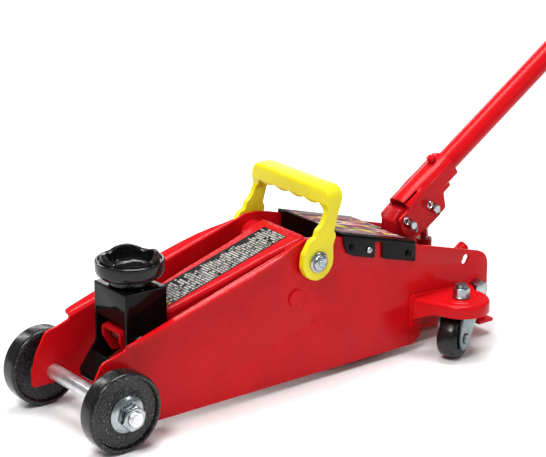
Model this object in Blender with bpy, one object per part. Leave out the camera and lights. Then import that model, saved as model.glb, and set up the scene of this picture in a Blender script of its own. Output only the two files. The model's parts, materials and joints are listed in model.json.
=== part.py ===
"""Two-ton hydraulic trolley jack, modelled in millimetres from the front axle and placed in metres."""

from math import atan2, cos, hypot, pi, radians, sin

import bmesh
import bpy
from mathutils import Matrix, Vector

MM = 0.001
FRONT_AXLE_X = -414.93  # puts the middle of the whole jack, handle included, at x = 0
NEAR, FAR = -1, 1
SIDE_NAMES = {NEAR: "near", FAR: "far"}
GAP = 0.3
SHARP_ANGLE = radians(35)

# Side plates
PLATE_INNER_Y = 41.5
PLATE_OUTER_Y = 44.0
PLATE_OUTLINE = [
    (-15.0, 23.5), (20.0, 23.5), (37.0, 7.2), (321.0, 7.2), (329.5, 14.0), (329.5, 40.5),
    (393.0, 40.5), (393.0, 15.2), (409.7, 15.2), (409.7, 76.0), (226.0, 127.9),
    (212.0, 131.2), (199.0, 131.4), (187.0, 127.7), (17.5, 80.2), (16.5, 75.5), (5.0, 71.5),
    (-6.0, 69.5), (-16.0, 51.0), (-20.0, 36.0), (-20.0, 23.5),
]
PLATE_CORNERS = [3, 8, 6, 7, 4, 5, 5, 1, 3, 17, 10, 12, 10, 10, 2, 3, 6, 9, 12, 10, 4]
FLANGE_SLOPE = 0.2795
FLANGE_START = (17.5, 80.8)
FLANGE_THICKNESS = 2.5
FLANGE_EDGE = [
    (17.5, 48.2), (22.0, 49.4), (44.0, 51.0), (82.0, 52.4), (122.0, 52.8), (137.5, 52.4),
    (154.0, 51.0), (166.7, 48.2), (178.5, 44.4), (184.0, 42.6),
]

# Front axle and wheels
AXLE_Z = 33.5
AXLE_RADIUS = 6.5
AXLE_END_RADIUS = 6.0
AXLE_HALF_LENGTH = 83.0
AXLE_SHOULDER_Y = 71.5
WHEEL_Y = 59.6
WHEEL_BORE = 6.9
WHEEL_PROFILE = [
    (WHEEL_BORE, 8.2), (14.8, 8.2), (16.0, 7.2), (19.0, 7.2), (20.2, 5.4), (28.2, 5.4),
    (29.6, 7.6), (30.9, 8.55), (32.3, 8.55), (33.5, 7.3), (33.5, -7.3), (32.3, -8.55),
    (30.5, -8.55), (28.6, -6.0), (15.0, -6.0), (13.0, -15.0), (WHEEL_BORE, -15.0),
]
WASHER_PROFILE = [
    (WHEEL_BORE, 68.1), (15.5, 68.1), (15.5, 69.0), (13.2, 70.6), (10.0, 71.4), (WHEEL_BORE, 71.4),
]
AXLE_NUT_ACROSS = 19.0
AXLE_NUT_Y = (71.7, 80.0)

# Pivots of the lifting linkage, as (x, z)
MAIN_PIVOT = (204.5, 112.0)
LINK_ANCHOR = (187.5, 81.0)
ARM_TIP_PIVOT = (43.0, 69.0)
LINK_TIP_PIVOT = (26.0, 38.0)
RAM_ROLLER = (238.05, 94.16)

MAIN_SHAFT_RADIUS = 8.0
MAIN_SHAFT_BORE = 4.4
ANCHOR_RADIUS = 4.5
ANCHOR_HEAD_RADIUS = 8.0
ARM_PIN_RADIUS = 6.0
LINK_PIN_RADIUS = 4.0
ROLLER_RADIUS = 5.5
ROLLER_PIN_RADIUS = 4.0

# Lift arm
ARM_TOP = (200.0, 126.4)
ARM_SLOPE = 0.285
ARM_SHEET = 3.0
ARM_OUTLINE = [
    (30.5, 78.0), (38.0, 53.0), (47.0, 53.0), (60.0, 58.0), (100.0, 70.5), (170.0, 90.0),
    (188.0, 94.5), (199.0, 96.5), (209.0, 97.5), (218.7, 95.6), (234.5, 87.4), (239.5, 86.2),
    (245.0, 89.5), (246.0, 95.5), (241.6, 100.8), (222.0, 112.0), (216.0, 124.0), (208.5, 128.8),
]
ARM_PLAN = [
    (20.0, 14.0), (44.0, 14.0), (66.0, 18.5), (75.0, 21.8), (126.0, 25.4), (165.0, 26.4), (190.0, 29.0),
    (206.0, 31.0), (260.0, 31.0),
]
ARM_TOP_END = 207.0
ARM_HUB_RADIUS = 13.0
ARM_HUB_HALF = 40.9

# Saddle bracket
BRACKET_HALF = 24.0
BRACKET_SHEET = 3.0
BRACKET_OUTLINE = [
    (30.0, 112.5), (30.0, 61.0), (13.5, 39.0), (15.0, 30.5), (30.0, 29.5), (47.0, 45.0),
    (62.0, 51.0), (70.0, 62.0), (70.0, 112.5),
]
BRACKET_CORNERS = [4, 6, 5, 5, 6, 8, 8, 6, 4]
BRACKET_HOLLOW = [
    (33.0, 109.0), (33.0, 85.0), (5.0, 85.0), (5.0, 53.0), (27.0, 53.0), (17.4, 39.8),
    (17.4, 20.0), (80.0, 20.0), (80.0, 109.0),
]

# Saddle
SADDLE_X = 50.0
SADDLE_PROFILE = [
    (0.0, 99.0), (7.0, 99.0), (7.8, 99.8), (7.8, 101.6), (6.4, 101.6), (6.4, 104.0), (7.8, 104.0),
    (7.8, 112.9), (17.5, 112.9), (17.5, 118.6), (24.4, 119.6), (27.6, 122.0), (28.6, 125.6),
    (28.6, 132.3), (27.6, 133.4), (26.0, 133.5), (25.0, 132.0), (24.2, 132.0), (23.2, 133.6),
    (19.6, 134.0), (17.6, 126.6), (15.0, 124.6), (0.0, 124.6),
]
CROWN_HEIGHTS = {133.6: 4.4, 134.0: 4.8}
CROWN_LOBES = 4
CROWN_PHASE = radians(66)
SADDLE_CLIP_PROFILE = [(6.7, 101.9), (10.5, 101.9), (10.5, 103.7), (6.7, 103.7)]

# Level links
LINK_Y = (9.5, 13.0)
LINK_HALF_WIDTH = 6.0
LINK_END_RADIUS = 6.5

# Hydraulic unit
UNIT_AXIS_Z = 66.0
UNIT_PROFILE = [
    (0.0, 263.0), (27.0, 263.0), (30.0, 266.0), (30.0, 323.0), (0.0, 323.0),
]
UNIT_BLOCK = [
    (318.0, 14.9), (387.0, 14.9), (387.0, 68.0), (380.0, 74.0), (356.0, 78.0), (354.0, 84.0),
    (318.0, 84.0),
]
UNIT_BLOCK_HALF = 30.0
RAM_AXIS_Z = 84.0
RAM_RADIUS = 9.0
RAM_PROFILE = [
    (0.0, 245.9), (12.0, 245.9), (13.0, 246.9), (13.0, 255.0), (9.0, 255.0), (9.0, 317.0),
    (0.0, 317.0),
]
RAM_BORE = (250.0, 320.0)
PLUNGER_X = 371.0
PLUNGER_RADIUS = 4.0
PLUNGER_Z = (66.0, 112.0)
PLUNGER_BORE_Z = (48.0, 90.0)
PUMP_BOSS_RADIUS = 7.0
PUMP_BOSS_Z = (60.0, 85.5)
BASE_PLATE_Z = (11.6, 14.6)
BASE_PLATE_PLAN = [
    (322.0, -29.0), (390.0, -29.0), (393.5, -53.5), (410.0, -53.5), (410.0, 53.5),
    (393.5, 53.5), (390.0, 29.0), (322.0, 29.0),
]

# Pump linkage and handle
FULCRUM = (341.0, 108.0)
PLUNGER_PIN = (368.5, 118.2)
PUMP_PIN_RADIUS = 4.0
PUMP_PIN_HALF = 19.5
COTTER_Y = 16.9
COTTER_RADIUS = 1.1
FULCRUM_BLOCK_OUTLINE = [
    (325.0, 84.3), (353.0, 84.3), (353.0, 108.0), (347.0, 121.5), (333.0, 121.5), (325.0, 112.0),
]
FULCRUM_BLOCK_CORNERS = [1, 1, 8, 7, 7, 5]
FULCRUM_BLOCK_HALF = 9.0
HANDLE_START = (337.0, 114.2)
HANDLE_ANGLE = radians(33.7)
HANDLE_RADIUS = 10.0
HANDLE_BORE = 8.6
SOCKET_RADIUS = 13.4
SOCKET_BORE = 10.4
SOCKET_SPAN = (7.0, 69.0)
SOCKET_THROAT = 24.0
SOCKET_ROOF = 10.9
EAR_Y = (10.4, 13.4)
EAR_OUTLINE = [
    (329.0, 113.5), (333.0, 101.0), (345.0, 95.5), (360.0, 98.5), (376.0, 109.0), (384.0, 115.5),
    (381.0, 129.0), (386.0, 140.0), (374.0, 145.0), (345.0, 125.5),
]
EAR_CORNERS = [4, 6, 8, 10, 6, 4, 4, 2, 2, 4]
LOWER_TUBE_SPAN = (26.0, 340.0)
UPPER_TUBE_SPAN = (340.3, 626.0)
SPIGOT_LENGTH = 45.0
LOCK_BOLT_AT = 58.0

# Cover
COVER_HALF = 46.0
COVER_SHEET = 1.5
COVER_FRONT = (237.0, 128.3)
COVER_SLOPE = -0.283
COVER_LIP_BOTTOM = 110.0
COVER_LIP_HALF = 41.0
COVER_OUTLINE = [
    (237.0, 128.3), (237.5, 119.0), (241.0, 110.0), (248.0, 106.4), (272.0, 99.6),
    (272.5, 114.6), (280.5, 112.3), (281.0, 97.1), (319.5, 86.4), (319.5, 104.95),
]
COVER_SCREWS = [(246.5, 114.3), (311.3, 95.6)]
COVER_RIVET = (265.5, 108.2)
SCREW_SHANK = 1.8

# Carrying handle
BAIL_SIDE = [
    (188.7, 108.1), (191.7, 102.0), (196.8, 97.6), (203.4, 95.7), (210.1, 96.7), (215.8, 100.3), (219.6, 105.9),
    (220.8, 112.0), (220.4, 124.0), (223.0, 130.5), (223.0, 133.0), (221.3, 136.5), (225.2, 150.0),
    (229.8, 163.0), (229.8, 176.0), (213.8, 176.0), (213.0, 163.0), (217.8, 157.5), (213.6, 148.0),
    (208.0, 142.5), (204.0, 139.5), (202.0, 133.5), (196.5, 131.5), (189.5, 121.0), (188.2, 112.0),
]
BAIL_SIDE_CORNERS = [5, 5, 5, 5, 5, 5, 5, 4, 6, 2, 1, 2, 8, 6, 7, 7, 2, 2, 5, 2, 2, 2, 3, 5, 5]
BAIL_OUTER_HALF = 52.0
BAIL_INNER_HALF = 46.7
BAIL_GRIP_HALF = 43.0
BAIL_TOP = 176.0
BAIL_UNDER = 160.0
FINGER_BUMPS = 4
FINGER_DEPTH = 2.4

# Casters
CASTER_X = 354.0
CASTER_Y = 69.5
CASTER_TRAIL = 13.0
CASTER_TURN = radians(201)  # the near caster's trail, from +x towards +y
CASTER_WHEEL_RADIUS = 19.2
CASTER_WHEEL_PROFILE = [
    (3.6, 9.0), (12.5, 9.0), (13.5, 7.6), (16.2, 8.4), (18.4, 5.6), (19.2, 0.0), (18.4, -5.6),
    (16.2, -8.4), (13.5, -7.6), (12.5, -9.0), (3.6, -9.0),
]
SHELF_TOP = 52.0
SHELF_SHEET = 2.8
LIP_BOTTOM = 40.5
LIP_ROOT_BOTTOM = 31.0
LIP_SLOPE_END = 332.0
LIP_UNDERSIDE = [(30.0, 31.0), (43.0, 31.0), (66.0, 40.5), (110.0, 40.5), (110.0, 10.0), (30.0, 10.0)]
SHELF_RADIUS = 25.5
FORK_TOP = 48.6
FORK_SHEET = 2.2
FORK_HALF = 12.2
STEM_RADIUS = 5.0
TIE_BOLT = (394.2, 45.8)
TIE_BOLT_RADIUS = 4.0
TIE_BOLT_ACROSS = 14.0
RELEASE_VALVE = (386.0, -23.0, 69.5)
SLOT = (381.7, 74.5)


def clear_scene():
    for obj in list(bpy.data.objects):
        bpy.data.objects.remove(obj)


def make_material(name, color, roughness, metallic):
    material = bpy.data.materials.new(name)
    material.use_nodes = True
    shader = material.node_tree.nodes["Principled BSDF"]
    shader.inputs["Base Color"].default_value = (*color, 1.0)
    shader.inputs["Roughness"].default_value = roughness
    shader.inputs["Metallic"].default_value = metallic
    material.diffuse_color = (*color, 1.0)
    return material


def make_materials():
    return {
        "red_paint": make_material("red_paint", (0.62, 0.012, 0.018), 0.3, 0.0),
        "arm_paint": make_material("arm_paint", (0.55, 0.010, 0.018), 0.32, 0.0),
        "unit_paint": make_material("unit_paint", (0.50, 0.010, 0.014), 0.38, 0.0),
        "black_paint": make_material("black_paint", (0.012, 0.012, 0.013), 0.3, 0.0),
        "cast_black": make_material("cast_black", (0.010, 0.010, 0.010), 0.35, 0.0),
        "cover_black": make_material("cover_black", (0.014, 0.013, 0.013), 0.45, 0.0),
        "wheel_black": make_material("wheel_black", (0.020, 0.019, 0.020), 0.5, 0.0),
        "caster_black": make_material("caster_black", (0.012, 0.011, 0.012), 0.35, 0.0),
        "zinc": make_material("zinc", (0.62, 0.66, 0.68), 0.25, 1.0),
        "fork_zinc": make_material("fork_zinc", (0.42, 0.48, 0.49), 0.4, 1.0),
        "polished_steel": make_material("polished_steel", (0.70, 0.70, 0.70), 0.15, 1.0),
        "spring_steel": make_material("spring_steel", (0.35, 0.35, 0.36), 0.35, 1.0),
        "yellow_plastic": make_material("yellow_plastic", (0.90, 0.80, 0.02), 0.4, 0.0),
    }


def placed(x, y, z):
    """World position of a point given in millimetres from the front axle."""
    return Vector(((x + FRONT_AXLE_X) * MM, y * MM, z * MM))


def finish(name, bm, material, origin=(0.0, 0.0, 0.0), helper=False):
    """Makes the object of a bmesh in millimetres, with its origin at the given point."""
    bmesh.ops.remove_doubles(bm, verts=bm.verts, dist=1e-4)
    bmesh.ops.recalc_face_normals(bm, faces=bm.faces)
    mesh = bpy.data.meshes.new(name)
    bm.to_mesh(mesh)
    bm.free()
    mesh.transform(Matrix.Scale(MM, 4) @ Matrix.Translation(-Vector(origin)))
    mesh.shade_smooth()
    mesh.set_sharp_from_angle(angle=SHARP_ANGLE)
    obj = bpy.data.objects.new(name, mesh)
    obj.location = placed(*origin)
    bpy.context.scene.collection.objects.link(obj)
    if helper:
        obj.hide_render = True
        obj.display_type = "WIRE"
    else:
        mesh.materials.append(material)
    return obj


def combine(target, other, operation):
    modifier = target.modifiers.new(f"{operation}_{other.name}", "BOOLEAN")
    modifier.operation = operation
    modifier.solver = "EXACT"
    modifier.object = other
    return target


def bevel(obj, width, segments=1, angle=50):
    modifier = obj.modifiers.new("edge_bevel", "BEVEL")
    modifier.width = width * MM
    modifier.segments = segments
    modifier.limit_method = "ANGLE"
    modifier.angle_limit = radians(angle)
    return obj


def rounded(points, radii, steps=3):
    """The outline with an arc at each corner that has room for it."""
    result = []
    count = len(points)
    for i, corner in enumerate(points):
        before = Vector(points[i - 1]) - Vector(corner)
        after = Vector(points[(i + 1) % count]) - Vector(corner)
        turn = before.angle(after)
        reach = radii[i] / max(abs(sin(turn / 2) / cos(turn / 2)), 1e-6)
        reach = min(reach, before.length * 0.49, after.length * 0.49)
        start = Vector(corner) + before.normalized() * reach
        end = Vector(corner) + after.normalized() * reach
        if reach < 0.05 or turn > radians(176):
            result.append(tuple(corner))
            continue
        for step in range(steps + 1):
            t = step / steps
            point = start.lerp(Vector(corner), t).lerp(Vector(corner).lerp(end, t), t)
            result.append(tuple(point))
    return result


def circle(x, z, radius, segments=24, start=0.0):
    return [
        (x + radius * cos(start + 2 * pi * i / segments), z + radius * sin(start + 2 * pi * i / segments))
        for i in range(segments)
    ]


def capsule(first, second, end_radius, half_width, steps=8):
    """Outline of a flat bar with a round eye at each end."""
    angle = atan2(second[1] - first[1], second[0] - first[0])
    half_arc = pi - abs(pi / 2 - abs(pi / 2 - 0.35)) if half_width < end_radius else pi / 2
    points = []
    for centre, heading in ((second, angle), (first, angle + pi)):
        for step in range(steps + 1):
            turn = heading - half_arc / 2 * 1.6 + half_arc * 1.6 * step / steps
            points.append((centre[0] + end_radius * cos(turn), centre[1] + end_radius * sin(turn)))
    return points


def extruded(corners, offset):
    bm = bmesh.new()
    face = bm.faces.new([bm.verts.new(corner) for corner in corners])
    grown = bmesh.ops.extrude_face_region(bm, geom=[face])
    moved = [item for item in grown["geom"] if isinstance(item, bmesh.types.BMVert)]
    bmesh.ops.translate(bm, verts=moved, vec=offset)
    return bm


def side_prism(outline, y_from, y_to):
    """An (x, z) outline extruded across the jack."""
    low, high = sorted((y_from, y_to))
    return extruded([(x, low, z) for x, z in outline], (0, high - low, 0))


def plan_prism(outline, z_from, z_to):
    """An (x, y) outline extruded upwards."""
    return extruded([(x, y, z_from) for x, y in outline], (0, 0, z_to - z_from))


def lathe(profile, centre, direction, segments):
    """A (radius, distance) profile spun about a line through the centre."""
    bm = bmesh.new()
    verts = [bm.verts.new((radius, 0, along)) for radius, along in profile]
    loop = verts + [verts[0]] if profile[0][0] > 0 else verts
    for first, second in zip(loop, loop[1:]):
        bm.edges.new((first, second))
    bmesh.ops.spin(
        bm, geom=bm.verts[:] + bm.edges[:], cent=(0, 0, 0), axis=(0, 0, 1), dvec=(0, 0, 0),
        angle=2 * pi, steps=segments, use_merge=True, use_duplicate=False,
    )
    turn = Vector((0, 0, 1)).rotation_difference(Vector(direction)).to_matrix().to_4x4()
    bmesh.ops.transform(bm, matrix=Matrix.Translation(centre) @ turn, verts=bm.verts)
    return bm


def rod(centre, direction, radius, start, end, segments=20):
    profile = [(0.0, start), (radius, start), (radius, end), (0.0, end)]
    return lathe(profile, centre, direction, segments)


def merge_into(bm, other):
    """Adds a separate body to a bmesh, for cutters that hold several."""
    mesh = bpy.data.meshes.new("part_of_cutter")
    other.to_mesh(mesh)
    other.free()
    bm.from_mesh(mesh)
    bpy.data.meshes.remove(mesh)
    return bm


def cutter(name, bodies):
    bm = bmesh.new()
    for body in bodies:
        merge_into(bm, body)
    return finish(name, bm, None, helper=True)


def hexagon(x, z, across, start=0.0):
    return circle(x, z, across / 2 / cos(pi / 6), 6, start)


def flange_z(x):
    return FLANGE_START[1] + FLANGE_SLOPE * (x - FLANGE_START[0])


def arm_z(x):
    return ARM_TOP[1] + ARM_SLOPE * (x - ARM_TOP[0])


def cover_z(x):
    return COVER_FRONT[1] + COVER_SLOPE * (x - COVER_FRONT[0])


def along_handle(distance, across=0.0):
    """Point in (x, z) on the handle's axis, or beside it."""
    x = HANDLE_START[0] + distance * cos(HANDLE_ANGLE) - across * sin(HANDLE_ANGLE)
    z = HANDLE_START[1] + distance * sin(HANDLE_ANGLE) + across * cos(HANDLE_ANGLE)
    return x, z


def handle_direction():
    return Vector((cos(HANDLE_ANGLE), 0, sin(HANDLE_ANGLE)))


def side_plate(side, paint):
    name = f"side_plate_{SIDE_NAMES[side]}"
    outline = rounded(PLATE_OUTLINE, PLATE_CORNERS)
    plate = finish(name, side_prism(outline, side * PLATE_INNER_Y, side * PLATE_OUTER_Y), paint)
    edge = [(x, side * y, flange_z(x)) for x, y in FLANGE_EDGE]
    root = side * (PLATE_INNER_Y + 0.2)
    first, last = FLANGE_EDGE[0][0], FLANGE_EDGE[-1][0] + 2.0
    corners = edge + [(last, root, flange_z(last)), (first, root, flange_z(first))]
    flange = finish(f"{name}_flange", extruded(corners, (0, 0, -FLANGE_THICKNESS)), None, helper=True)
    combine(plate, flange, "UNION")
    boss = rod((TIE_BOLT[0], 0, TIE_BOLT[1]), (0, side, 0), 11.5, 43.0, 45.4, 28)
    combine(plate, finish(f"{name}_boss", boss, None, helper=True), "UNION")
    holes = [
        (0.0, AXLE_Z, AXLE_RADIUS + 0.4), (*LINK_ANCHOR, ANCHOR_RADIUS + 0.4),
        (*MAIN_PIVOT, MAIN_SHAFT_RADIUS + 0.4), (*TIE_BOLT, TIE_BOLT_RADIUS + GAP),
    ]
    holes += [(*at, SCREW_SHANK + GAP) for at in [*COVER_SCREWS, COVER_RIVET]]
    bodies = [rod((x, 0, z), (0, side, 0), radius, 38.0, 58.0, 16) for x, z, radius in holes]
    slot = [(SLOT[0] + 3.8 * cos(a) + dx, SLOT[1] + 3.8 * sin(a) + dz) for a, dx, dz in slot_turns()]
    bodies.append(side_prism(slot, side * 38.0, side * 50.0))
    return combine(plate, cutter(f"{name}_holes", bodies), "DIFFERENCE")


def slot_turns():
    """Angles and centre shifts round a leaning slot."""
    upper = [(radians(a), 0.7, 0.9) for a in range(0, 181, 30)]
    lower = [(radians(a), -0.7, -0.9) for a in range(180, 361, 30)]
    return upper + lower


def front_axle(steel):
    ends = AXLE_HALF_LENGTH
    profile = [
        (0.0, -ends), (AXLE_END_RADIUS - 1.0, -ends), (AXLE_END_RADIUS, 1.0 - ends),
        (AXLE_END_RADIUS, -AXLE_SHOULDER_Y), (AXLE_RADIUS, -AXLE_SHOULDER_Y),
        (AXLE_RADIUS, AXLE_SHOULDER_Y), (AXLE_END_RADIUS, AXLE_SHOULDER_Y),
        (AXLE_END_RADIUS, ends - 1.0), (AXLE_END_RADIUS - 1.0, ends), (0.0, ends),
    ]
    centre = (0.0, 0.0, AXLE_Z)
    return finish("front_axle", lathe(profile, centre, (0, 1, 0), 20), steel, centre)


def front_wheel(side, black):
    centre = (0.0, side * WHEEL_Y, AXLE_Z)
    bm = lathe(WHEEL_PROFILE, centre, (0, side, 0), 32)
    return finish(f"front_wheel_{SIDE_NAMES[side]}", bm, black, centre)


def axle_washer(side, zinc):
    centre = (0.0, 0.0, AXLE_Z)
    return finish(f"axle_washer_{SIDE_NAMES[side]}", lathe(WASHER_PROFILE, centre, (0, side, 0), 20), zinc)


def hex_nut(name, at, y_from, y_to, across, bore, zinc, start=0.0):
    """A nut on a bolt that runs across the jack."""
    nut = finish(name, side_prism(hexagon(*at, across, start), y_from, y_to), zinc)
    hole = side_prism(circle(*at, bore, 20), 1.2 * y_from - 0.2 * y_to, 1.2 * y_to - 0.2 * y_from)
    return combine(nut, cutter(f"{name}_bore", [hole]), "DIFFERENCE")


def main_pivot_shaft(steel):
    half = PLATE_OUTER_Y - 0.1
    profile = [
        (MAIN_SHAFT_BORE, -half), (MAIN_SHAFT_RADIUS, -half), (MAIN_SHAFT_RADIUS, half),
        (MAIN_SHAFT_BORE, half),
    ]
    centre = (MAIN_PIVOT[0], 0.0, MAIN_PIVOT[1])
    return finish("main_pivot_shaft", lathe(profile, centre, (0, 1, 0), 20), steel, centre)


def link_anchor_rod(paint):
    inner, outer = PLATE_OUTER_Y + GAP, PLATE_OUTER_Y + 1.5
    half = [
        (ANCHOR_RADIUS, inner), (ANCHOR_HEAD_RADIUS, inner), (ANCHOR_HEAD_RADIUS, outer - 0.4),
        (ANCHOR_HEAD_RADIUS - 1.2, outer), (0.0, outer),
    ]
    profile = [(radius, -along) for radius, along in reversed(half)] + half
    centre = (LINK_ANCHOR[0], 0.0, LINK_ANCHOR[1])
    return finish("link_anchor_rod", lathe(profile, centre, (0, 1, 0), 16), paint, centre)


def lift_arm(paint):
    origin = (MAIN_PIVOT[0], 0.0, MAIN_PIVOT[1])
    arm = finish("lift_arm", side_prism(ARM_OUTLINE, -32.0, 32.0), paint, origin)
    plan = [(x, -y) for x, y in ARM_PLAN] + [(x, y) for x, y in reversed(ARM_PLAN)]
    combine(arm, finish("lift_arm_plan", plan_prism(plan, 20.0, 160.0), None, helper=True), "INTERSECT")
    inner = [(x, y - ARM_SHEET) for x, y in ARM_PLAN]
    inner[0] = (ARM_PLAN[0][0] - 9.0, inner[0][1])
    inner[-1] = (ARM_PLAN[-1][0] + 9.0, inner[-1][1])
    inner_plan = [(x, -y) for x, y in inner] + [(x, y) for x, y in reversed(inner)]
    under = [
        (-20.0, arm_z(-20.0) - ARM_SHEET), (ARM_TOP_END, arm_z(ARM_TOP_END) - ARM_SHEET),
        (ARM_TOP_END, 170.0), (300.0, 170.0), (300.0, 10.0), (-20.0, 10.0),
    ]
    channel = finish("lift_arm_channel", side_prism(under, -40.0, 40.0), None, helper=True)
    limit = finish("lift_arm_inner_plan", plan_prism(inner_plan, 0.0, 180.0), None, helper=True)
    combine(channel, limit, "INTERSECT")
    combine(arm, channel, "DIFFERENCE")
    hub = rod(origin, (0, 1, 0), ARM_HUB_RADIUS, -ARM_HUB_HALF, ARM_HUB_HALF, 32)
    combine(arm, finish("lift_arm_hub", hub, None, helper=True), "UNION")
    holes = [
        (MAIN_PIVOT, MAIN_SHAFT_RADIUS + 0.4), (ARM_TIP_PIVOT, ARM_PIN_RADIUS + GAP),
        (RAM_ROLLER, ROLLER_PIN_RADIUS + GAP),
    ]
    bodies = [rod((at[0], 0, at[1]), (0, 1, 0), radius, -50, 50, 24) for at, radius in holes]
    return combine(arm, cutter("lift_arm_holes", bodies), "DIFFERENCE")


def ram_roller(steel):
    inner, outer = 27.5, 30.8
    half = [(ROLLER_RADIUS, inner), (ROLLER_PIN_RADIUS, inner), (ROLLER_PIN_RADIUS, outer), (0.0, outer)]
    profile = [(radius, -along) for radius, along in reversed(half)] + half
    centre = (RAM_ROLLER[0], 0.0, RAM_ROLLER[1])
    return finish("ram_roller", lathe(profile, centre, (0, 1, 0), 20), steel, centre)


def saddle_bracket(black):
    outline = rounded(BRACKET_OUTLINE, BRACKET_CORNERS)
    origin = (ARM_TIP_PIVOT[0], 0.0, ARM_TIP_PIVOT[1])
    bracket = finish("saddle_bracket", side_prism(outline, -BRACKET_HALF, BRACKET_HALF), black, origin)
    bevel(bracket, 2.2, 2, 80)
    inner = BRACKET_HALF - BRACKET_SHEET
    hollow = side_prism(BRACKET_HOLLOW, -inner, inner)
    combine(bracket, cutter("saddle_bracket_hollow", [hollow]), "DIFFERENCE")
    bodies = [
        rod((ARM_TIP_PIVOT[0], 0, ARM_TIP_PIVOT[1]), (0, 1, 0), ARM_PIN_RADIUS + GAP, -40, 40, 24),
        rod((LINK_TIP_PIVOT[0], 0, LINK_TIP_PIVOT[1]), (0, 1, 0), LINK_PIN_RADIUS + GAP, -40, 40, 20),
        rod((SADDLE_X, 0, 0), (0, 0, 1), 8.3, 106, 116, 28),
    ]
    return combine(bracket, cutter("saddle_bracket_holes", bodies), "DIFFERENCE")


def saddle(black):
    """A cup with a crown of lobes inside its rim."""
    origin = (SADDLE_X, 0.0, 112.5)
    bm = lathe(SADDLE_PROFILE, (SADDLE_X, 0, 0), (0, 0, 1), 32)
    bmesh.ops.remove_doubles(bm, verts=bm.verts, dist=1e-4)
    for vert in bm.verts:
        rise = CROWN_HEIGHTS.get(round(vert.co.z, 1), 0.0)
        if rise and hypot(vert.co.x - SADDLE_X, vert.co.y) < 23.6:
            turn = atan2(vert.co.y, vert.co.x - SADDLE_X) - CROWN_PHASE
            vert.co.z += rise * (0.5 + 0.5 * cos(CROWN_LOBES * turn)) ** 0.5
    return finish("saddle", bm, black, origin)


def saddle_clip(steel):
    return finish("saddle_clip", lathe(SADDLE_CLIP_PROFILE, (SADDLE_X, 0, 0), (0, 0, 1), 24), steel)


def level_link(side, paint):
    name = f"level_link_{SIDE_NAMES[side]}"
    outline = capsule(LINK_TIP_PIVOT, LINK_ANCHOR, LINK_END_RADIUS, LINK_HALF_WIDTH)
    origin = (LINK_ANCHOR[0], 0.0, LINK_ANCHOR[1])
    link = finish(name, side_prism(outline, side * LINK_Y[0], side * LINK_Y[1]), paint, origin)
    holes = [(LINK_TIP_PIVOT, LINK_PIN_RADIUS + GAP), (LINK_ANCHOR, ANCHOR_RADIUS + GAP)]
    bodies = [rod((at[0], 0, at[1]), (0, side, 0), radius, 5, 20, 20) for at, radius in holes]
    return combine(link, cutter(f"{name}_holes", bodies), "DIFFERENCE")


def hydraulic_unit(paint):
    unit = finish("hydraulic_unit", lathe(UNIT_PROFILE, (0, 0, UNIT_AXIS_Z), (1, 0, 0), 36), paint)
    block = side_prism(UNIT_BLOCK, -UNIT_BLOCK_HALF, UNIT_BLOCK_HALF)
    combine(unit, finish("hydraulic_unit_block", block, None, helper=True), "UNION")
    boss = rod((PLUNGER_X, 0, 0), (0, 0, 1), PUMP_BOSS_RADIUS, *PUMP_BOSS_Z, 24)
    combine(unit, finish("hydraulic_unit_boss", boss, None, helper=True), "UNION")
    valve_bore = rod(RELEASE_VALVE, handle_direction(), 4.4, -12.0, 30.0, 20)
    bodies = [
        rod((0, 0, RAM_AXIS_Z), (1, 0, 0), RAM_RADIUS + 0.4, *RAM_BORE, 28),
        rod((PLUNGER_X, 0, 0), (0, 0, 1), PLUNGER_RADIUS + 0.4, *PLUNGER_BORE_Z, 20),
        valve_bore,
    ]
    return combine(unit, cutter("hydraulic_unit_bores", bodies), "DIFFERENCE")


def ram(steel):
    return finish("ram", lathe(RAM_PROFILE, (0, 0, RAM_AXIS_Z), (1, 0, 0), 20), steel)


def pump_plunger(steel):
    low, high = PLUNGER_Z
    profile = [(0.0, low), (PLUNGER_RADIUS, low), (PLUNGER_RADIUS, high - 1.0), (3.0, high), (0.0, high)]
    return finish("pump_plunger", lathe(profile, (PLUNGER_X, 0, 0), (0, 0, 1), 20), steel)


def release_valve(paint):
    """A screw with a fluted end that the handle's tube fits over."""
    profile = [(0.0, -11.0), (4.0, -11.0), (4.0, 8.0), (5.4, 8.0), (5.4, 15.5), (4.7, 16.5), (0.0, 16.5)]
    valve = finish(
        "release_valve", lathe(profile, RELEASE_VALVE, handle_direction(), 16), paint, RELEASE_VALVE
    )
    flutes = [
        rod(
            Vector(RELEASE_VALVE) + Matrix.Rotation(pi / 3 * i, 3, handle_direction()) @ Vector((0, 5.8, 0)),
            handle_direction(), 1.2, 7.0, 18.0, 8,
        )
        for i in range(6)
    ]
    return combine(valve, cutter("release_valve_flutes", flutes), "DIFFERENCE")


def base_plate(paint):
    return finish("base_plate", plan_prism(BASE_PLATE_PLAN, *BASE_PLATE_Z), paint)


def fulcrum_block(paint):
    outline = rounded(FULCRUM_BLOCK_OUTLINE, FULCRUM_BLOCK_CORNERS)
    block = finish("fulcrum_block", side_prism(outline, -FULCRUM_BLOCK_HALF, FULCRUM_BLOCK_HALF), paint)
    hole = rod((FULCRUM[0], 0, FULCRUM[1]), (0, 1, 0), PUMP_PIN_RADIUS + GAP, -20, 20, 20)
    return combine(block, cutter("fulcrum_block_hole", [hole]), "DIFFERENCE")


def socket_section(distance):
    """The socket's outline across the handle: round above and below, flat at the sides."""
    points = []
    for turn in (2 * pi * i / 28 for i in range(28)):
        y = SOCKET_RADIUS * min(max(1.16 * cos(turn), -1.0), 1.0)
        x, z = along_handle(distance, SOCKET_RADIUS * sin(turn))
        points.append((x, y, z))
    return points


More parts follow.
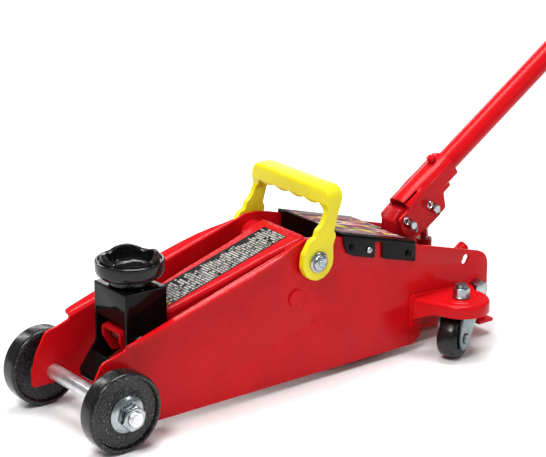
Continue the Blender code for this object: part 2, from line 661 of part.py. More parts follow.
def handle_socket(paint):
    """A pressed tube that opens into two ears round the fulcrum block."""
    origin = (FULCRUM[0], 0.0, FULCRUM[1])
    low, high = SOCKET_SPAN
    tube = extruded(socket_section(low), handle_direction() * (high - low))
    socket = finish("handle_socket", tube, paint, origin)
    ears = rounded(EAR_OUTLINE, EAR_CORNERS)
    for side in (NEAR, FAR):
        ear = side_prism(ears, side * (EAR_Y[0] + 0.05), side * (EAR_Y[1] - 0.05))
        combine(socket, finish(f"handle_socket_ear_{SIDE_NAMES[side]}", ear, None, helper=True), "UNION")
    tab = [along_handle(46, -12.0), along_handle(60, -12.0), along_handle(60, -18.5), along_handle(50, -18.5)]
    combine(socket, finish("handle_socket_tab", side_prism(tab, -5.0, 3.0), None, helper=True), "UNION")
    across = Vector((-sin(HANDLE_ANGLE), 0, cos(HANDLE_ANGLE)))
    bolt_x, bolt_z = along_handle(LOCK_BOLT_AT)
    throat = [
        along_handle(low - 40.0, SOCKET_ROOF), along_handle(SOCKET_THROAT, SOCKET_ROOF),
        along_handle(SOCKET_THROAT, -40.0), along_handle(low - 40.0, -40.0),
    ]
    start = (HANDLE_START[0], 0.0, HANDLE_START[1])
    bodies = [
        side_prism(throat, -EAR_Y[0], EAR_Y[0]),
        rod(start, handle_direction(), SOCKET_BORE, SOCKET_THROAT - 5.0, high + 5.0, 24),
        rod((bolt_x, 0, bolt_z), across, 3.6, 5.0, 30.0, 20),
    ]
    pins = [FULCRUM, PLUNGER_PIN]
    bodies += [rod((x, 0, z), (0, 1, 0), PUMP_PIN_RADIUS + GAP, -30, 30, 20) for x, z in pins]
    for index, body in enumerate(bodies):
        combine(socket, cutter(f"handle_socket_hole_{index}", [body]), "DIFFERENCE")
    return socket


def pump_pin(name, at, steel):
    half = PUMP_PIN_HALF
    profile = [
        (0.0, -half), (PUMP_PIN_RADIUS - 0.8, -half), (PUMP_PIN_RADIUS, 0.8 - half),
        (PUMP_PIN_RADIUS, 13.8), (6.0, 13.8), (6.0, 16.0), (5.0, 17.0), (0.0, 17.0),
    ]
    centre = (at[0], 0.0, at[1])
    pin = finish(name, lathe(profile, centre, (0, 1, 0), 16), steel, centre)
    lean = cotter_direction()
    hole = rod((at[0], -COTTER_Y, at[1]), lean, COTTER_RADIUS + GAP, -8, 8, 12)
    return combine(pin, cutter(f"{name}_hole", [hole]), "DIFFERENCE")


def cotter_direction():
    return Vector((cos(radians(-35)), 0, sin(radians(-35))))


def cotter(name, at, steel):
    """A split pin: an eye, a shank through the pin and two spread ends made as one wire."""
    across = cotter_direction()
    up = Vector((-across.z, 0, across.x))
    centre = Vector((at[0], -COTTER_Y, at[1]))
    eye = centre - across * 8.6
    path = [eye + across * 2.9 * cos(a) + up * 2.9 * sin(a) for a in (radians(t) for t in range(330, 30, -30))]
    path = path[:-1] + [eye + across * 2.6, centre - across * 4.4, centre, centre + across * 5.2]
    path += [centre + across * 7.0 - up * 1.2, centre + across * 7.6 - up * 3.4]
    curve = bpy.data.curves.new(name, "CURVE")
    curve.dimensions = "3D"
    curve.bevel_depth = COTTER_RADIUS * MM
    curve.bevel_resolution = 1
    curve.use_fill_caps = True
    spline = curve.splines.new("POLY")
    spline.points.add(len(path) - 1)
    for point, position in zip(spline.points, path):
        point.co = (*((position - centre) * MM), 1.0)
    curve.materials.append(steel)
    obj = bpy.data.objects.new(name, curve)
    obj.location = placed(*centre)
    bpy.context.scene.collection.objects.link(obj)
    return obj


def handle_lower(paint):
    low, high = LOWER_TUBE_SPAN
    profile = [(HANDLE_BORE, low), (HANDLE_RADIUS, low), (HANDLE_RADIUS, high), (HANDLE_BORE, high)]
    start = (HANDLE_START[0], 0.0, HANDLE_START[1])
    return finish("handle_lower", lathe(profile, start, handle_direction(), 24), paint)


def handle_upper(paint):
    low, high = UPPER_TUBE_SPAN
    spigot = low - SPIGOT_LENGTH
    profile = [
        (7.0, spigot), (8.2, spigot), (8.2, low), (HANDLE_RADIUS, low), (HANDLE_RADIUS, high),
        (HANDLE_BORE, high), (HANDLE_BORE, low + 4.0), (7.0, low + 2.0),
    ]
    start = (HANDLE_START[0], 0.0, HANDLE_START[1])
    return finish("handle_upper", lathe(profile, start, handle_direction(), 24), paint)


def handle_lock_bolt(paint):
    across = Vector((-sin(HANDLE_ANGLE), 0, cos(HANDLE_ANGLE)))
    x, z = along_handle(LOCK_BOLT_AT)
    profile = [(0.0, 10.4), (3.2, 10.4), (3.2, 14.0), (6.0, 14.0), (6.0, 18.5), (4.5, 19.6), (0.0, 19.6)]
    return finish("handle_lock_bolt", lathe(profile, (x, 0, z), across, 20), paint)


def top_cover(black):
    outer = side_prism(COVER_OUTLINE, -COVER_HALF, COVER_HALF)
    cover = finish("top_cover", outer, black)
    inner = COVER_HALF - COVER_SHEET
    under = [
        (225.0, cover_z(225.0) - COVER_SHEET), (330.0, cover_z(330.0) - COVER_SHEET), (330.0, 60.0),
        (225.0, 60.0),
    ]
    hollow = side_prism(under, -inner, inner)
    combine(cover, cutter("top_cover_hollow", [hollow]), "DIFFERENCE")
    front = COVER_FRONT[0]
    lip = [
        (front, COVER_LIP_BOTTOM), (front + COVER_SHEET, COVER_LIP_BOTTOM),
        (front + COVER_SHEET, cover_z(front) - 0.9), (front, cover_z(front) - 0.7),
    ]
    flap = side_prism(lip, -COVER_LIP_HALF, COVER_LIP_HALF)
    combine(cover, finish("top_cover_lip", flap, None, helper=True), "UNION")
    bodies = [
        rod((x, 0, z), (0, side, 0), SCREW_SHANK + GAP, 40, 50, 12)
        for x, z in [*COVER_SCREWS, COVER_RIVET]
        for side in (NEAR, FAR)
    ]
    return combine(cover, cutter("top_cover_holes", bodies), "DIFFERENCE")


def cover_fastener(name, at, side, radius, material):
    """A domed head on a short shank, entering from the cover's side."""
    profile = [
        (0.0, 38.5), (SCREW_SHANK, 38.5), (SCREW_SHANK, COVER_HALF + GAP), (radius, COVER_HALF + GAP),
        (radius, COVER_HALF + 1.2), (radius * 0.6, COVER_HALF + 2.2), (0.0, COVER_HALF + 2.4),
    ]
    return finish(name, lathe(profile, (at[0], 0, at[1]), (0, side, 0), 8), material)


def bail_face():
    """The carrying handle seen from behind, as (y, z): two legs, rounded shoulders and a finger grip."""
    outer = [
        (-BAIL_OUTER_HALF, 90.0), (-BAIL_INNER_HALF, 90.0), (-BAIL_INNER_HALF, 152.0),
        (-BAIL_GRIP_HALF, 158.0),
    ]
    steps = 6
    span = 2 * BAIL_GRIP_HALF - 4.0
    grip = []
    for i in range(FINGER_BUMPS * steps + 1):
        share = i / (FINGER_BUMPS * steps)
        bump = FINGER_DEPTH * abs(sin(pi * FINGER_BUMPS * share))
        grip.append((-BAIL_GRIP_HALF + 2.0 + span * share, BAIL_UNDER - bump))
    right = [(-y, z) for y, z in reversed(outer)]
    shoulders = rounded(
        [(BAIL_OUTER_HALF, 120.0), (BAIL_OUTER_HALF, BAIL_TOP), (-BAIL_OUTER_HALF, BAIL_TOP),
         (-BAIL_OUTER_HALF, 120.0)],
        [0, 11, 11, 0], 5,
    )
    return outer + grip + right + shoulders


def carry_handle(plastic):
    origin = (MAIN_PIVOT[0], 0.0, MAIN_PIVOT[1])
    face = extruded([(170.0, y, z) for y, z in bail_face()], (80.0, 0, 0))
    bail = finish("carry_handle", face, plastic, origin)
    outline = rounded(BAIL_SIDE, BAIL_SIDE_CORNERS)
    profile = finish("carry_handle_side", side_prism(outline, -60.0, 60.0), None, helper=True)
    combine(bail, profile, "INTERSECT")
    hole = rod((MAIN_PIVOT[0], 0, MAIN_PIVOT[1]), (0, 1, 0), 5.4, -60, 60, 24)
    combine(bail, cutter("carry_handle_bore", [hole]), "DIFFERENCE")
    return bail


def carry_bolt(side, zinc):
    name = f"carry_bolt_{SIDE_NAMES[side]}"
    outer = BAIL_OUTER_HALF + GAP
    profile = [
        (0.0, 28.0), (4.0, 28.0), (4.0, 44.2), (5.0, 44.2), (5.0, outer), (9.3, outer), (9.3, outer + 1.6),
        (7.4, outer + 2.2), (7.2, outer + 3.4), (5.4, outer + 4.6), (0.0, outer + 5.0),
    ]
    return finish(name, lathe(profile, (MAIN_PIVOT[0], 0.0, MAIN_PIVOT[1]), (0, side, 0), 20), zinc)


def shelf_plan(side, inset):
    """Plan of a caster shelf, drawn in from its edge by the inset."""
    radius = SHELF_RADIUS - inset
    arc = []
    for step in range(13):
        turn = radians(-15 + 175 * step / 12)
        arc.append((CASTER_X + radius * cos(turn), side * (CASTER_Y + radius * sin(turn))))
    front, back = CASTER_X - 37.0 + inset, CASTER_X + 33.0 - inset
    root = side * (PLATE_OUTER_Y + GAP)
    return [(back, root), (back, side * 50.0), *arc, (front, root)]


def caster_bracket(side, paint):
    """A pressed shelf with a lip that deepens at its front, and the flange behind it."""
    name = f"caster_bracket_{SIDE_NAMES[side]}"
    shelf = finish(name, plan_prism(shelf_plan(side, 0.0), LIP_ROOT_BOTTOM, SHELF_TOP), paint)
    bevel(shelf, 2.4, 2, 60)
    hollow = plan_prism(shelf_plan(side, SHELF_SHEET), LIP_ROOT_BOTTOM - 6.0, SHELF_TOP - SHELF_SHEET)
    below = extruded([(LIP_SLOPE_END, side * y, z) for y, z in LIP_UNDERSIDE], (-30.0, 0, 0))
    behind = side_prism([(LIP_SLOPE_END - 1.0, 10.0), (400.0, 10.0), (400.0, LIP_BOTTOM),
                         (LIP_SLOPE_END - 1.0, LIP_BOTTOM)], side * 40.0, side * 110.0)
    combine(shelf, cutter(f"{name}_hollow", [hollow]), "DIFFERENCE")
    combine(shelf, cutter(f"{name}_below", [below]), "DIFFERENCE")
    combine(shelf, cutter(f"{name}_behind", [behind]), "DIFFERENCE")
    root = side * (PLATE_OUTER_Y + GAP)
    flange = [(314.5, 24.5), (322.5, 24.5), (323.5, 42.0), (389.0, 42.0), (389.0, 51.0), (330.0, 54.0),
              (318.0, 55.5), (315.0, 53.0)]
    wall = side_prism(flange, root + side * 0.05, root + side * SHELF_SHEET)
    combine(shelf, finish(f"{name}_wall", wall, None, helper=True), "UNION")
    bodies = [
        rod((CASTER_X, side * CASTER_Y, 0), (0, 0, 1), STEM_RADIUS + GAP, 30, 70, 24),
        rod((TIE_BOLT[0], 0, TIE_BOLT[1]), (0, side, 0), 13.0, 40, 70, 24),
    ]
    return combine(shelf, cutter(f"{name}_holes", bodies), "DIFFERENCE")


def caster_frame(side):
    """Matrix from the caster's own axes (trail along +x) to the jack's."""
    turn = CASTER_TURN if side == NEAR else -CASTER_TURN
    return Matrix.Translation((CASTER_X, side * CASTER_Y, 0.0)) @ Matrix.Rotation(turn, 4, "Z")


def turned(bm, side):
    bmesh.ops.transform(bm, matrix=caster_frame(side), verts=bm.verts)
    return bm


def caster_fork(side, zinc):
    name = f"caster_fork_{SIDE_NAMES[side]}"
    origin = (CASTER_X, side * CASTER_Y, FORK_TOP)
    legs = rounded(
        [(-12.0, FORK_TOP), (-12.0, 38.0), (CASTER_TRAIL - 11.0, CASTER_WHEEL_RADIUS),
         (CASTER_TRAIL - 7.0, CASTER_WHEEL_RADIUS - 10.0), (CASTER_TRAIL + 7.0, CASTER_WHEEL_RADIUS - 10.0),
         (CASTER_TRAIL + 9.5, CASTER_WHEEL_RADIUS), (CASTER_TRAIL + 7.5, 34.0), (14.0, FORK_TOP)],
        [2, 8, 8, 7, 7, 8, 10, 3],
    )
    fork = finish(name, turned(side_prism(legs, -FORK_HALF, FORK_HALF), side), zinc, origin)
    inner = FORK_HALF - FORK_SHEET
    hollow = [(-20.0, 0.0), (60.0, 0.0), (60.0, FORK_TOP - FORK_SHEET), (-20.0, FORK_TOP - FORK_SHEET)]
    combine(fork, cutter(f"{name}_hollow", [turned(side_prism(hollow, -inner, inner), side)]), "DIFFERENCE")
    stem = rod((CASTER_X, side * CASTER_Y, 0), (0, 0, 1), STEM_RADIUS, FORK_TOP - 1.0, 64.5, 24)
    combine(fork, finish(f"{name}_stem", stem, None, helper=True), "UNION")
    hole = rod((CASTER_TRAIL, 0, CASTER_WHEEL_RADIUS), (0, 1, 0), 3.3, -20, 20, 16)
    return combine(fork, cutter(f"{name}_axle_hole", [turned(hole, side)]), "DIFFERENCE")


def caster_wheel(side, black):
    centre = caster_frame(side) @ Vector((CASTER_TRAIL, 0, CASTER_WHEEL_RADIUS))
    bm = lathe(CASTER_WHEEL_PROFILE, (CASTER_TRAIL, 0, CASTER_WHEEL_RADIUS), (0, 1, 0), 24)
    return finish(f"caster_wheel_{SIDE_NAMES[side]}", turned(bm, side), black, tuple(centre))


def caster_axle(side, zinc):
    outer = FORK_HALF + GAP
    half = [(3.0, outer), (5.0, outer), (5.0, outer + 1.0), (3.2, outer + 2.0), (0.0, outer + 2.0)]
    profile = [(radius, -along) for radius, along in reversed(half)] + half
    bm = lathe(profile, (CASTER_TRAIL, 0, CASTER_WHEEL_RADIUS), (0, 1, 0), 16)
    return finish(f"caster_axle_{SIDE_NAMES[side]}", turned(bm, side), zinc)


def caster_nut(side, zinc):
    name = f"caster_nut_{SIDE_NAMES[side]}"
    centre = (CASTER_X, side * CASTER_Y)
    low = SHELF_TOP + GAP
    nut = finish(name, plan_prism(circle(*centre, 8.0, 24), low, low + 1.8), zinc)
    body = plan_prism(hexagon(*centre, 13.0, 0.35), low + 1.0, low + 9.0)
    combine(nut, finish(f"{name}_hex", body, None, helper=True), "UNION")
    bore = rod((*centre, 0), (0, 0, 1), STEM_RADIUS + GAP, 40, 80, 20)
    return combine(nut, cutter(f"{name}_bore", [bore]), "DIFFERENCE")


def rear_tie_bolt(zinc):
    """A cross bolt with its head on the near side and a nut on the far side."""
    face = 45.7
    profile = [(0.0, -face - 1.0), (TIE_BOLT_RADIUS, -face - 1.0), (TIE_BOLT_RADIUS, 56.0), (0.0, 56.0)]
    centre = (TIE_BOLT[0], 0.0, TIE_BOLT[1])
    bolt = finish("rear_tie_bolt", lathe(profile, centre, (0, 1, 0), 24), zinc, centre)
    head = side_prism(hexagon(*TIE_BOLT, TIE_BOLT_ACROSS, 0.4), -face - 8.5, -face)
    return combine(bolt, finish("rear_tie_bolt_head", head, None, helper=True), "UNION")


def return_spring(steel):
    """The coil that draws the arm down, from the arm's cheek back to the hydraulic unit."""
    start, end = Vector((250.0, -35.5, 88.0)), Vector((318.0, -35.5, 72.0))
    axis = (end - start).normalized()
    up = axis.cross(Vector((0, 1, 0)))
    side = Vector((0, 1, 0))
    turns, per_turn, coil_radius = 9, 10, 3.8
    path = [start - axis * 6.0, start - axis * 2.0]
    for i in range(turns * per_turn + 1):
        turn = 2 * pi * i / per_turn
        at = start.lerp(end, i / (turns * per_turn))
        path.append(at + (up * cos(turn) + side * sin(turn)) * coil_radius)
    curve = bpy.data.curves.new("return_spring", "CURVE")
    curve.dimensions = "3D"
    curve.bevel_depth = 1.0 * MM
    curve.bevel_resolution = 0
    curve.use_fill_caps = True
    spline = curve.splines.new("POLY")
    spline.points.add(len(path) - 1)
    for point, position in zip(spline.points, path):
        point.co = (*((position - start) * MM), 1.0)
    curve.materials.append(steel)
    obj = bpy.data.objects.new("return_spring", curve)
    obj.location = placed(*start)
    bpy.context.scene.collection.objects.link(obj)
    return obj


def filler_plug(steel):
    x, top = 300.0, UNIT_AXIS_Z + 30.0
    profile = [(0.0, top + GAP), (6.0, top + GAP), (6.0, top + 3.0), (4.5, top + 4.0), (0.0, top + 4.0)]
    return finish("filler_plug", lathe(profile, (x, 0, 0), (0, 0, 1), 16), steel)


def arm_pins(zinc):
    for name, at, radius, half in (
        ("arm_tip_pin", ARM_TIP_PIVOT, ARM_PIN_RADIUS, 26.0),
        ("link_tip_pin", LINK_TIP_PIVOT, LINK_PIN_RADIUS, 26.5),
    ):
        centre = (at[0], 0.0, at[1])
        ends = [(0.0, -half), (radius - 0.8, -half), (radius, 0.8 - half)]
        profile = ends + [(r, -along) for r, along in reversed(ends)]
        finish(name, lathe(profile, centre, (0, 1, 0), 20), zinc, centre)


def build_frame(materials):
    red, zinc = materials["red_paint"], materials["zinc"]
    for side in (NEAR, FAR):
        side_plate(side, red)
        axle_washer(side, zinc)
        hex_nut(
            f"axle_nut_{SIDE_NAMES[side]}", (0.0, AXLE_Z), side * AXLE_NUT_Y[0], side * AXLE_NUT_Y[1],
            AXLE_NUT_ACROSS, AXLE_END_RADIUS + 0.35, zinc, 0.25,
        )
        caster_bracket(side, red)
        carry_bolt(side, zinc)
        for index, at in enumerate(COVER_SCREWS):
            cover_fastener(
                f"cover_screw_{SIDE_NAMES[side]}_{index + 1}", at, side, 3.2, materials["black_paint"]
            )
        cover_fastener(f"cover_rivet_{SIDE_NAMES[side]}", COVER_RIVET, side, 2.8, zinc)
    front_axle(zinc)
    main_pivot_shaft(zinc)
    link_anchor_rod(red)
    base_plate(red)
    top_cover(materials["cover_black"])
    rear_tie_bolt(zinc)
    hex_nut("rear_tie_nut", TIE_BOLT, 45.7, 53.7, TIE_BOLT_ACROSS, TIE_BOLT_RADIUS + GAP, zinc)


def build_lift(materials):
    lift_arm(materials["arm_paint"])
    ram_roller(materials["polished_steel"])
    saddle_bracket(materials["black_paint"])
    saddle(materials["cast_black"])
    saddle_clip(materials["spring_steel"])
    arm_pins(materials["zinc"])
    for side in (NEAR, FAR):
        level_link(side, materials["arm_paint"])


def build_hydraulics(materials):
    hydraulic_unit(materials["unit_paint"])
    ram(materials["polished_steel"])
    pump_plunger(materials["polished_steel"])
    release_valve(materials["red_paint"])
    fulcrum_block(materials["unit_paint"])
    filler_plug(materials["zinc"])
    return_spring(materials["spring_steel"])


def build_handle(materials):
    red = materials["red_paint"]
    handle_socket(red)
    handle_lower(red)
    handle_upper(red)
    handle_lock_bolt(red)
    for name, at in (("fulcrum_pin", FULCRUM), ("plunger_pin", PLUNGER_PIN)):
        pump_pin(name, at, materials["zinc"])
        cotter(f"{name}_cotter", at, materials["zinc"])


def build_wheels(materials):
    for side in (NEAR, FAR):
        front_wheel(side, materials["wheel_black"])
        caster_fork(side, materials["fork_zinc"])
        caster_wheel(side, materials["caster_black"])
        caster_axle(side, materials["fork_zinc"])
        caster_nut(side, materials["zinc"])


def main():
    clear_scene()
    materials = make_materials()
    build_frame(materials)
    build_lift(materials)
    build_hydraulics(materials)
    build_handle(materials)
    build_wheels(materials)
    carry_handle(materials["yellow_plastic"])


main()
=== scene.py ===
"""Looks of the two-ton trolley jack: finer surfaces, materials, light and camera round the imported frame."""

import json
from math import atan2, cos, hypot, pi, radians, sin

import bmesh
import bpy
from mathutils import Matrix, Vector


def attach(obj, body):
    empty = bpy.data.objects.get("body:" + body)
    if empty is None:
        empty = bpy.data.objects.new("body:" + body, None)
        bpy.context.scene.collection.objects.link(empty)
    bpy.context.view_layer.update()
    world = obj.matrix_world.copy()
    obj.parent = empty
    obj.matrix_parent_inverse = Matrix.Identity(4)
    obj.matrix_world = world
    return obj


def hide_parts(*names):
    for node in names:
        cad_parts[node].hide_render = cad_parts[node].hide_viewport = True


MM = 0.001
FRONT_AXLE_X = -414.93  # millimetres from the frame's origin to the front axle
NEAR, FAR = -1, 1
SIDE_NAMES = {NEAR: "near", FAR: "far"}
SHARP_ANGLE = radians(32)

AXLE_Z = 33.5
PLATE_INNER_Y, PLATE_OUTER_Y = 41.5, 44.0
MAIN_PIVOT = (204.5, 112.0)
LINK_ANCHOR = (187.5, 81.0)
ARM_TIP_PIVOT = (43.0, 69.0)
LINK_TIP_PIVOT = (26.0, 38.0)
TIE_BOLT = (394.2, 45.8)
SLOT = (381.7, 74.5)
HANDLE_START = (337.0, 114.2)
HANDLE_ANGLE = radians(33.7)
CASTER_X, CASTER_Y, CASTER_TRAIL = 354.0, 69.5, 13.0
CASTER_TURN = radians(201)
CASTER_WHEEL_RADIUS = 19.2
SADDLE_X = 50.0

SADDLE_BORE_RADIUS = 8.3
PIVOT_BORE_RADIUS = 8.4
ARM_PIN_BORE_RADIUS, LINK_PIN_BORE_RADIUS = 6.3, 4.3
HANDLE_PIN_BORE_RADIUS = 4.3
THREAD_PITCH, THREAD_DEPTH = 1.25, 0.45

CAMERA_AZIMUTH = radians(-37.639)
CAMERA_ELEVATION = radians(18.527)
CAMERA_ROLL = radians(0.208)
CAMERA_DISTANCE = 1638.43
CAMERA_TARGET = (196.437, 0.0, 129.363)
CAMERA_LENS = 126.48
SENSOR_WIDTH = 36.0


def placed(x, y, z):
    """A point given in millimetres from the front axle, in the frame's metres."""
    return Vector(((x + FRONT_AXLE_X) * MM, y * MM, z * MM))


# ---------------- shader building


class Shader:
    """A small helper for one node material."""

    def __init__(self, name):
        self.material = bpy.data.materials.new(name)
        self.material.use_nodes = True
        self.tree = self.material.node_tree
        self.principled = self.tree.nodes["Principled BSDF"]
        self.coordinates = self.tree.nodes.new("ShaderNodeTexCoord").outputs["Object"]

    def feed(self, socket, value):
        if isinstance(value, bpy.types.NodeSocket):
            self.tree.links.new(value, socket)
        else:
            socket.default_value = value

    def node(self, kind, **inputs):
        made = self.tree.nodes.new(kind)
        for name, value in inputs.items():
            self.feed(made.inputs[name.replace("_", " ")], value)
        return made

    def stretched(self, scale):
        """The object coordinates with a scale of their own along each axis."""
        return self.node("ShaderNodeMapping", Vector=self.coordinates, Scale=scale).outputs["Vector"]

    def noise(self, scale, detail=2.0, vector=None):
        vector = vector or self.coordinates
        return self.node("ShaderNodeTexNoise", Vector=vector, Scale=scale, Detail=detail).outputs["Fac"]

    def spread(self, value, low, high, to_low, to_high):
        made = self.node(
            "ShaderNodeMapRange", Value=value, From_Min=low, From_Max=high, To_Min=to_low, To_Max=to_high
        )
        return made.outputs["Result"]

    def blend(self, factor, first, second):
        made = self.tree.nodes.new("ShaderNodeMix")
        made.data_type = "RGBA"
        self.tree.links.new(factor, made.inputs[0])
        for socket, value in ((made.inputs[6], first), (made.inputs[7], second)):
            self.feed(socket, value if isinstance(value, bpy.types.NodeSocket) else (*value, 1.0))
        return made.outputs[2]

    def math(self, operation, *values):
        made = self.tree.nodes.new("ShaderNodeMath")
        made.operation = operation
        for socket, value in zip(made.inputs, values):
            self.feed(socket, value)
        return made.outputs[0]

    def random(self, first, second=0.0):
        """A fixed random number for each pair of whole numbers."""
        pair = self.node("ShaderNodeCombineXYZ", X=first, Y=second).outputs["Vector"]
        made = self.node("ShaderNodeTexWhiteNoise", Vector=pair)
        return made.outputs["Value"]

    def bump(self, height, strength, distance=0.0002):
        made = self.node("ShaderNodeBump", Height=height, Strength=strength, Distance=distance)
        self.tree.links.new(made.outputs["Normal"], self.principled.inputs["Normal"])

    def set(self, **inputs):
        for name, value in inputs.items():
            self.feed(self.principled.inputs[name.replace("_", " ")], value)


def enamel(name, color, roughness=0.24, dust=0.10):
    """Sprayed paint: a faint orange peel, uneven gloss and a little dust in the colour."""
    shader = Shader(name)
    patches = shader.spread(shader.noise(38.0, 5.0), 0.35, 0.7, 0.0, 1.0)
    deep = tuple(0.88 * channel for channel in color)
    tinted = shader.blend(patches, color, deep)
    specks = shader.spread(shader.noise(1400.0, 2.0), 0.66, 0.80, 0.0, dust)
    shader.set(
        Base_Color=shader.blend(specks, tinted, tuple(0.6 * channel + 0.05 for channel in color)),
        Roughness=shader.spread(shader.noise(90.0, 4.0), 0.3, 0.7, roughness - 0.04, roughness + 0.05),
        Specular_IOR_Level=0.10,
        Coat_Weight=0.05,
        Coat_Roughness=0.05,
    )
    shader.bump(shader.noise(520.0, 2.0), 0.05)
    return shader.material


def casting(name, color, glint_color, roughness=0.42, grain=900.0, relief=0.5):
    """Painted cast iron: a sandy surface whose grains carry painted glints, light spots in the base colour.
    """
    shader = Shader(name)
    grains = shader.noise(grain, 3.0)
    bright = shader.spread(grains, 0.56, 0.74, 0.0, 1.0)
    shader.set(
        # painted glints: the grains are lightened in the base colour as if they caught the light
        Base_Color=shader.blend(bright, color, glint_color),
        Roughness=shader.spread(shader.noise(210.0, 3.0), 0.3, 0.7, roughness - 0.1, roughness + 0.12),
        Specular_IOR_Level=0.35,
    )
    shader.bump(grains, relief, 0.0004)
    return shader.material


def plated(name, color, dull, roughness=0.24, grain=(60.0, 900.0, 900.0)):
    """Zinc plate or ground steel: fine drawn lines and cloudy patches."""
    shader = Shader(name)
    lines = shader.noise(3.0, 3.0, shader.stretched(grain))
    clouds = shader.spread(shader.noise(130.0, 4.0), 0.35, 0.7, 0.0, 1.0)
    shader.set(
        Base_Color=shader.blend(clouds, color, dull),
        Metallic=1.0,
        Roughness=shader.spread(lines, 0.3, 0.7, roughness - 0.08, roughness + 0.12),
    )
    shader.bump(lines, 0.12, 0.0001)
    return shader.material


def moulded(name, color, roughness=0.38, grain=1100.0):
    """Moulded plastic: a fine etched grain and soft shading in the colour."""
    shader = Shader(name)
    patches = shader.spread(shader.noise(45.0, 3.0), 0.3, 0.7, 0.0, 1.0)
    shader.set(
        Base_Color=shader.blend(patches, color, tuple(0.9 * channel for channel in color)),
        Roughness=shader.spread(shader.noise(160.0, 3.0), 0.3, 0.7, roughness - 0.06, roughness + 0.08),
        Specular_IOR_Level=0.35,
    )
    shader.bump(shader.noise(grain, 2.0), 0.12, 0.0002)
    return shader.material


PRINT_START = -0.0148  # metres from the middle of the film, where every row begins
ROW_INK_SHARE, LETTER_GAP_SHARE, SHORTEST_ROW_SHARE = 0.64, 0.24, 0.45


def printed_panel(name, ink, film, row, letter, longest):
    """Rows of pale dashes on a dark film, ragged at one end: they look printed and say nothing."""
    shader = Shader(name)
    place = shader.node("ShaderNodeSeparateXYZ", Vector=shader.coordinates).outputs
    rows = shader.math("MULTIPLY", place["X"], 1.0 / row)
    dashes = shader.math("MULTIPLY", place["Y"], 1.0 / letter)
    row_number, dash_number = shader.math("FLOOR", rows), shader.math("FLOOR", dashes)
    length = shader.spread(shader.random(row_number), 0.0, 1.0, longest, SHORTEST_ROW_SHARE * longest)
    inside = shader.math("MULTIPLY", shader.math("LESS_THAN", place["Y"], length),
                         shader.math("GREATER_THAN", place["Y"], PRINT_START))
    on_row = shader.math("LESS_THAN", shader.math("FRACT", rows), ROW_INK_SHARE)
    chance = shader.random(row_number, dash_number)
    printed = shader.math("MULTIPLY", shader.math("GREATER_THAN", chance, LETTER_GAP_SHARE), on_row)
    strength = shader.math("MULTIPLY", shader.math("MULTIPLY", printed, inside),
                           shader.spread(chance, 0.2, 1.0, 0.45, 1.0))
    shader.set(
        Base_Color=shader.blend(strength, film, ink),
        Roughness=shader.spread(shader.noise(200.0, 2.0), 0.3, 0.7, 0.26, 0.4),
        Specular_IOR_Level=0.06,
    )
    return shader.material


STREAK_HALF_WIDTH = 0.0285
BORDER_LINES = ((0.0345, 0.0006), (0.0318, 0.0004))  # distance from the middle and half width, in metres


def streaked_panel(name):
    """The cover's film: two pale border lines and a mottled band of pink and yellow streaks on black."""
    shader = Shader(name)
    place = shader.node("ShaderNodeSeparateXYZ", Vector=shader.coordinates).outputs
    across = shader.math("ABSOLUTE", place["Y"])
    streaks = shader.noise(1.0, 3.0, shader.stretched((26.0, 300.0, 26.0)))
    patches = shader.noise(75.0, 2.0)
    band = shader.math("LESS_THAN", across, STREAK_HALF_WIDTH)
    pink = shader.math("MULTIPLY", shader.spread(streaks, 0.49, 0.53, 0.0, 1.0), band)
    yellow = shader.math("MULTIPLY", shader.math("MULTIPLY", shader.spread(patches, 0.52, 0.56, 0.0, 1.0),
                                                 shader.spread(streaks, 0.42, 0.47, 0.0, 1.0)), band)
    pale = shader.math("MULTIPLY", shader.spread(streaks, 0.60, 0.63, 0.0, 1.0), band)
    lines = shader.math("ADD", *(shader.math("COMPARE", across, *line) for line in BORDER_LINES))
    base = shader.blend(pink, (0.010, 0.009, 0.010), (0.46, 0.035, 0.09))
    base = shader.blend(yellow, base, (0.62, 0.46, 0.04))
    base = shader.blend(pale, base, (0.70, 0.60, 0.55))
    shader.set(
        Base_Color=shader.blend(lines, base, (0.62, 0.24, 0.28)),
        Roughness=shader.spread(shader.noise(200.0, 2.0), 0.3, 0.7, 0.26, 0.4),
        Specular_IOR_Level=0.12,
    )
    shader.bump(shader.noise(600.0, 2.0), 0.04)
    return shader.material


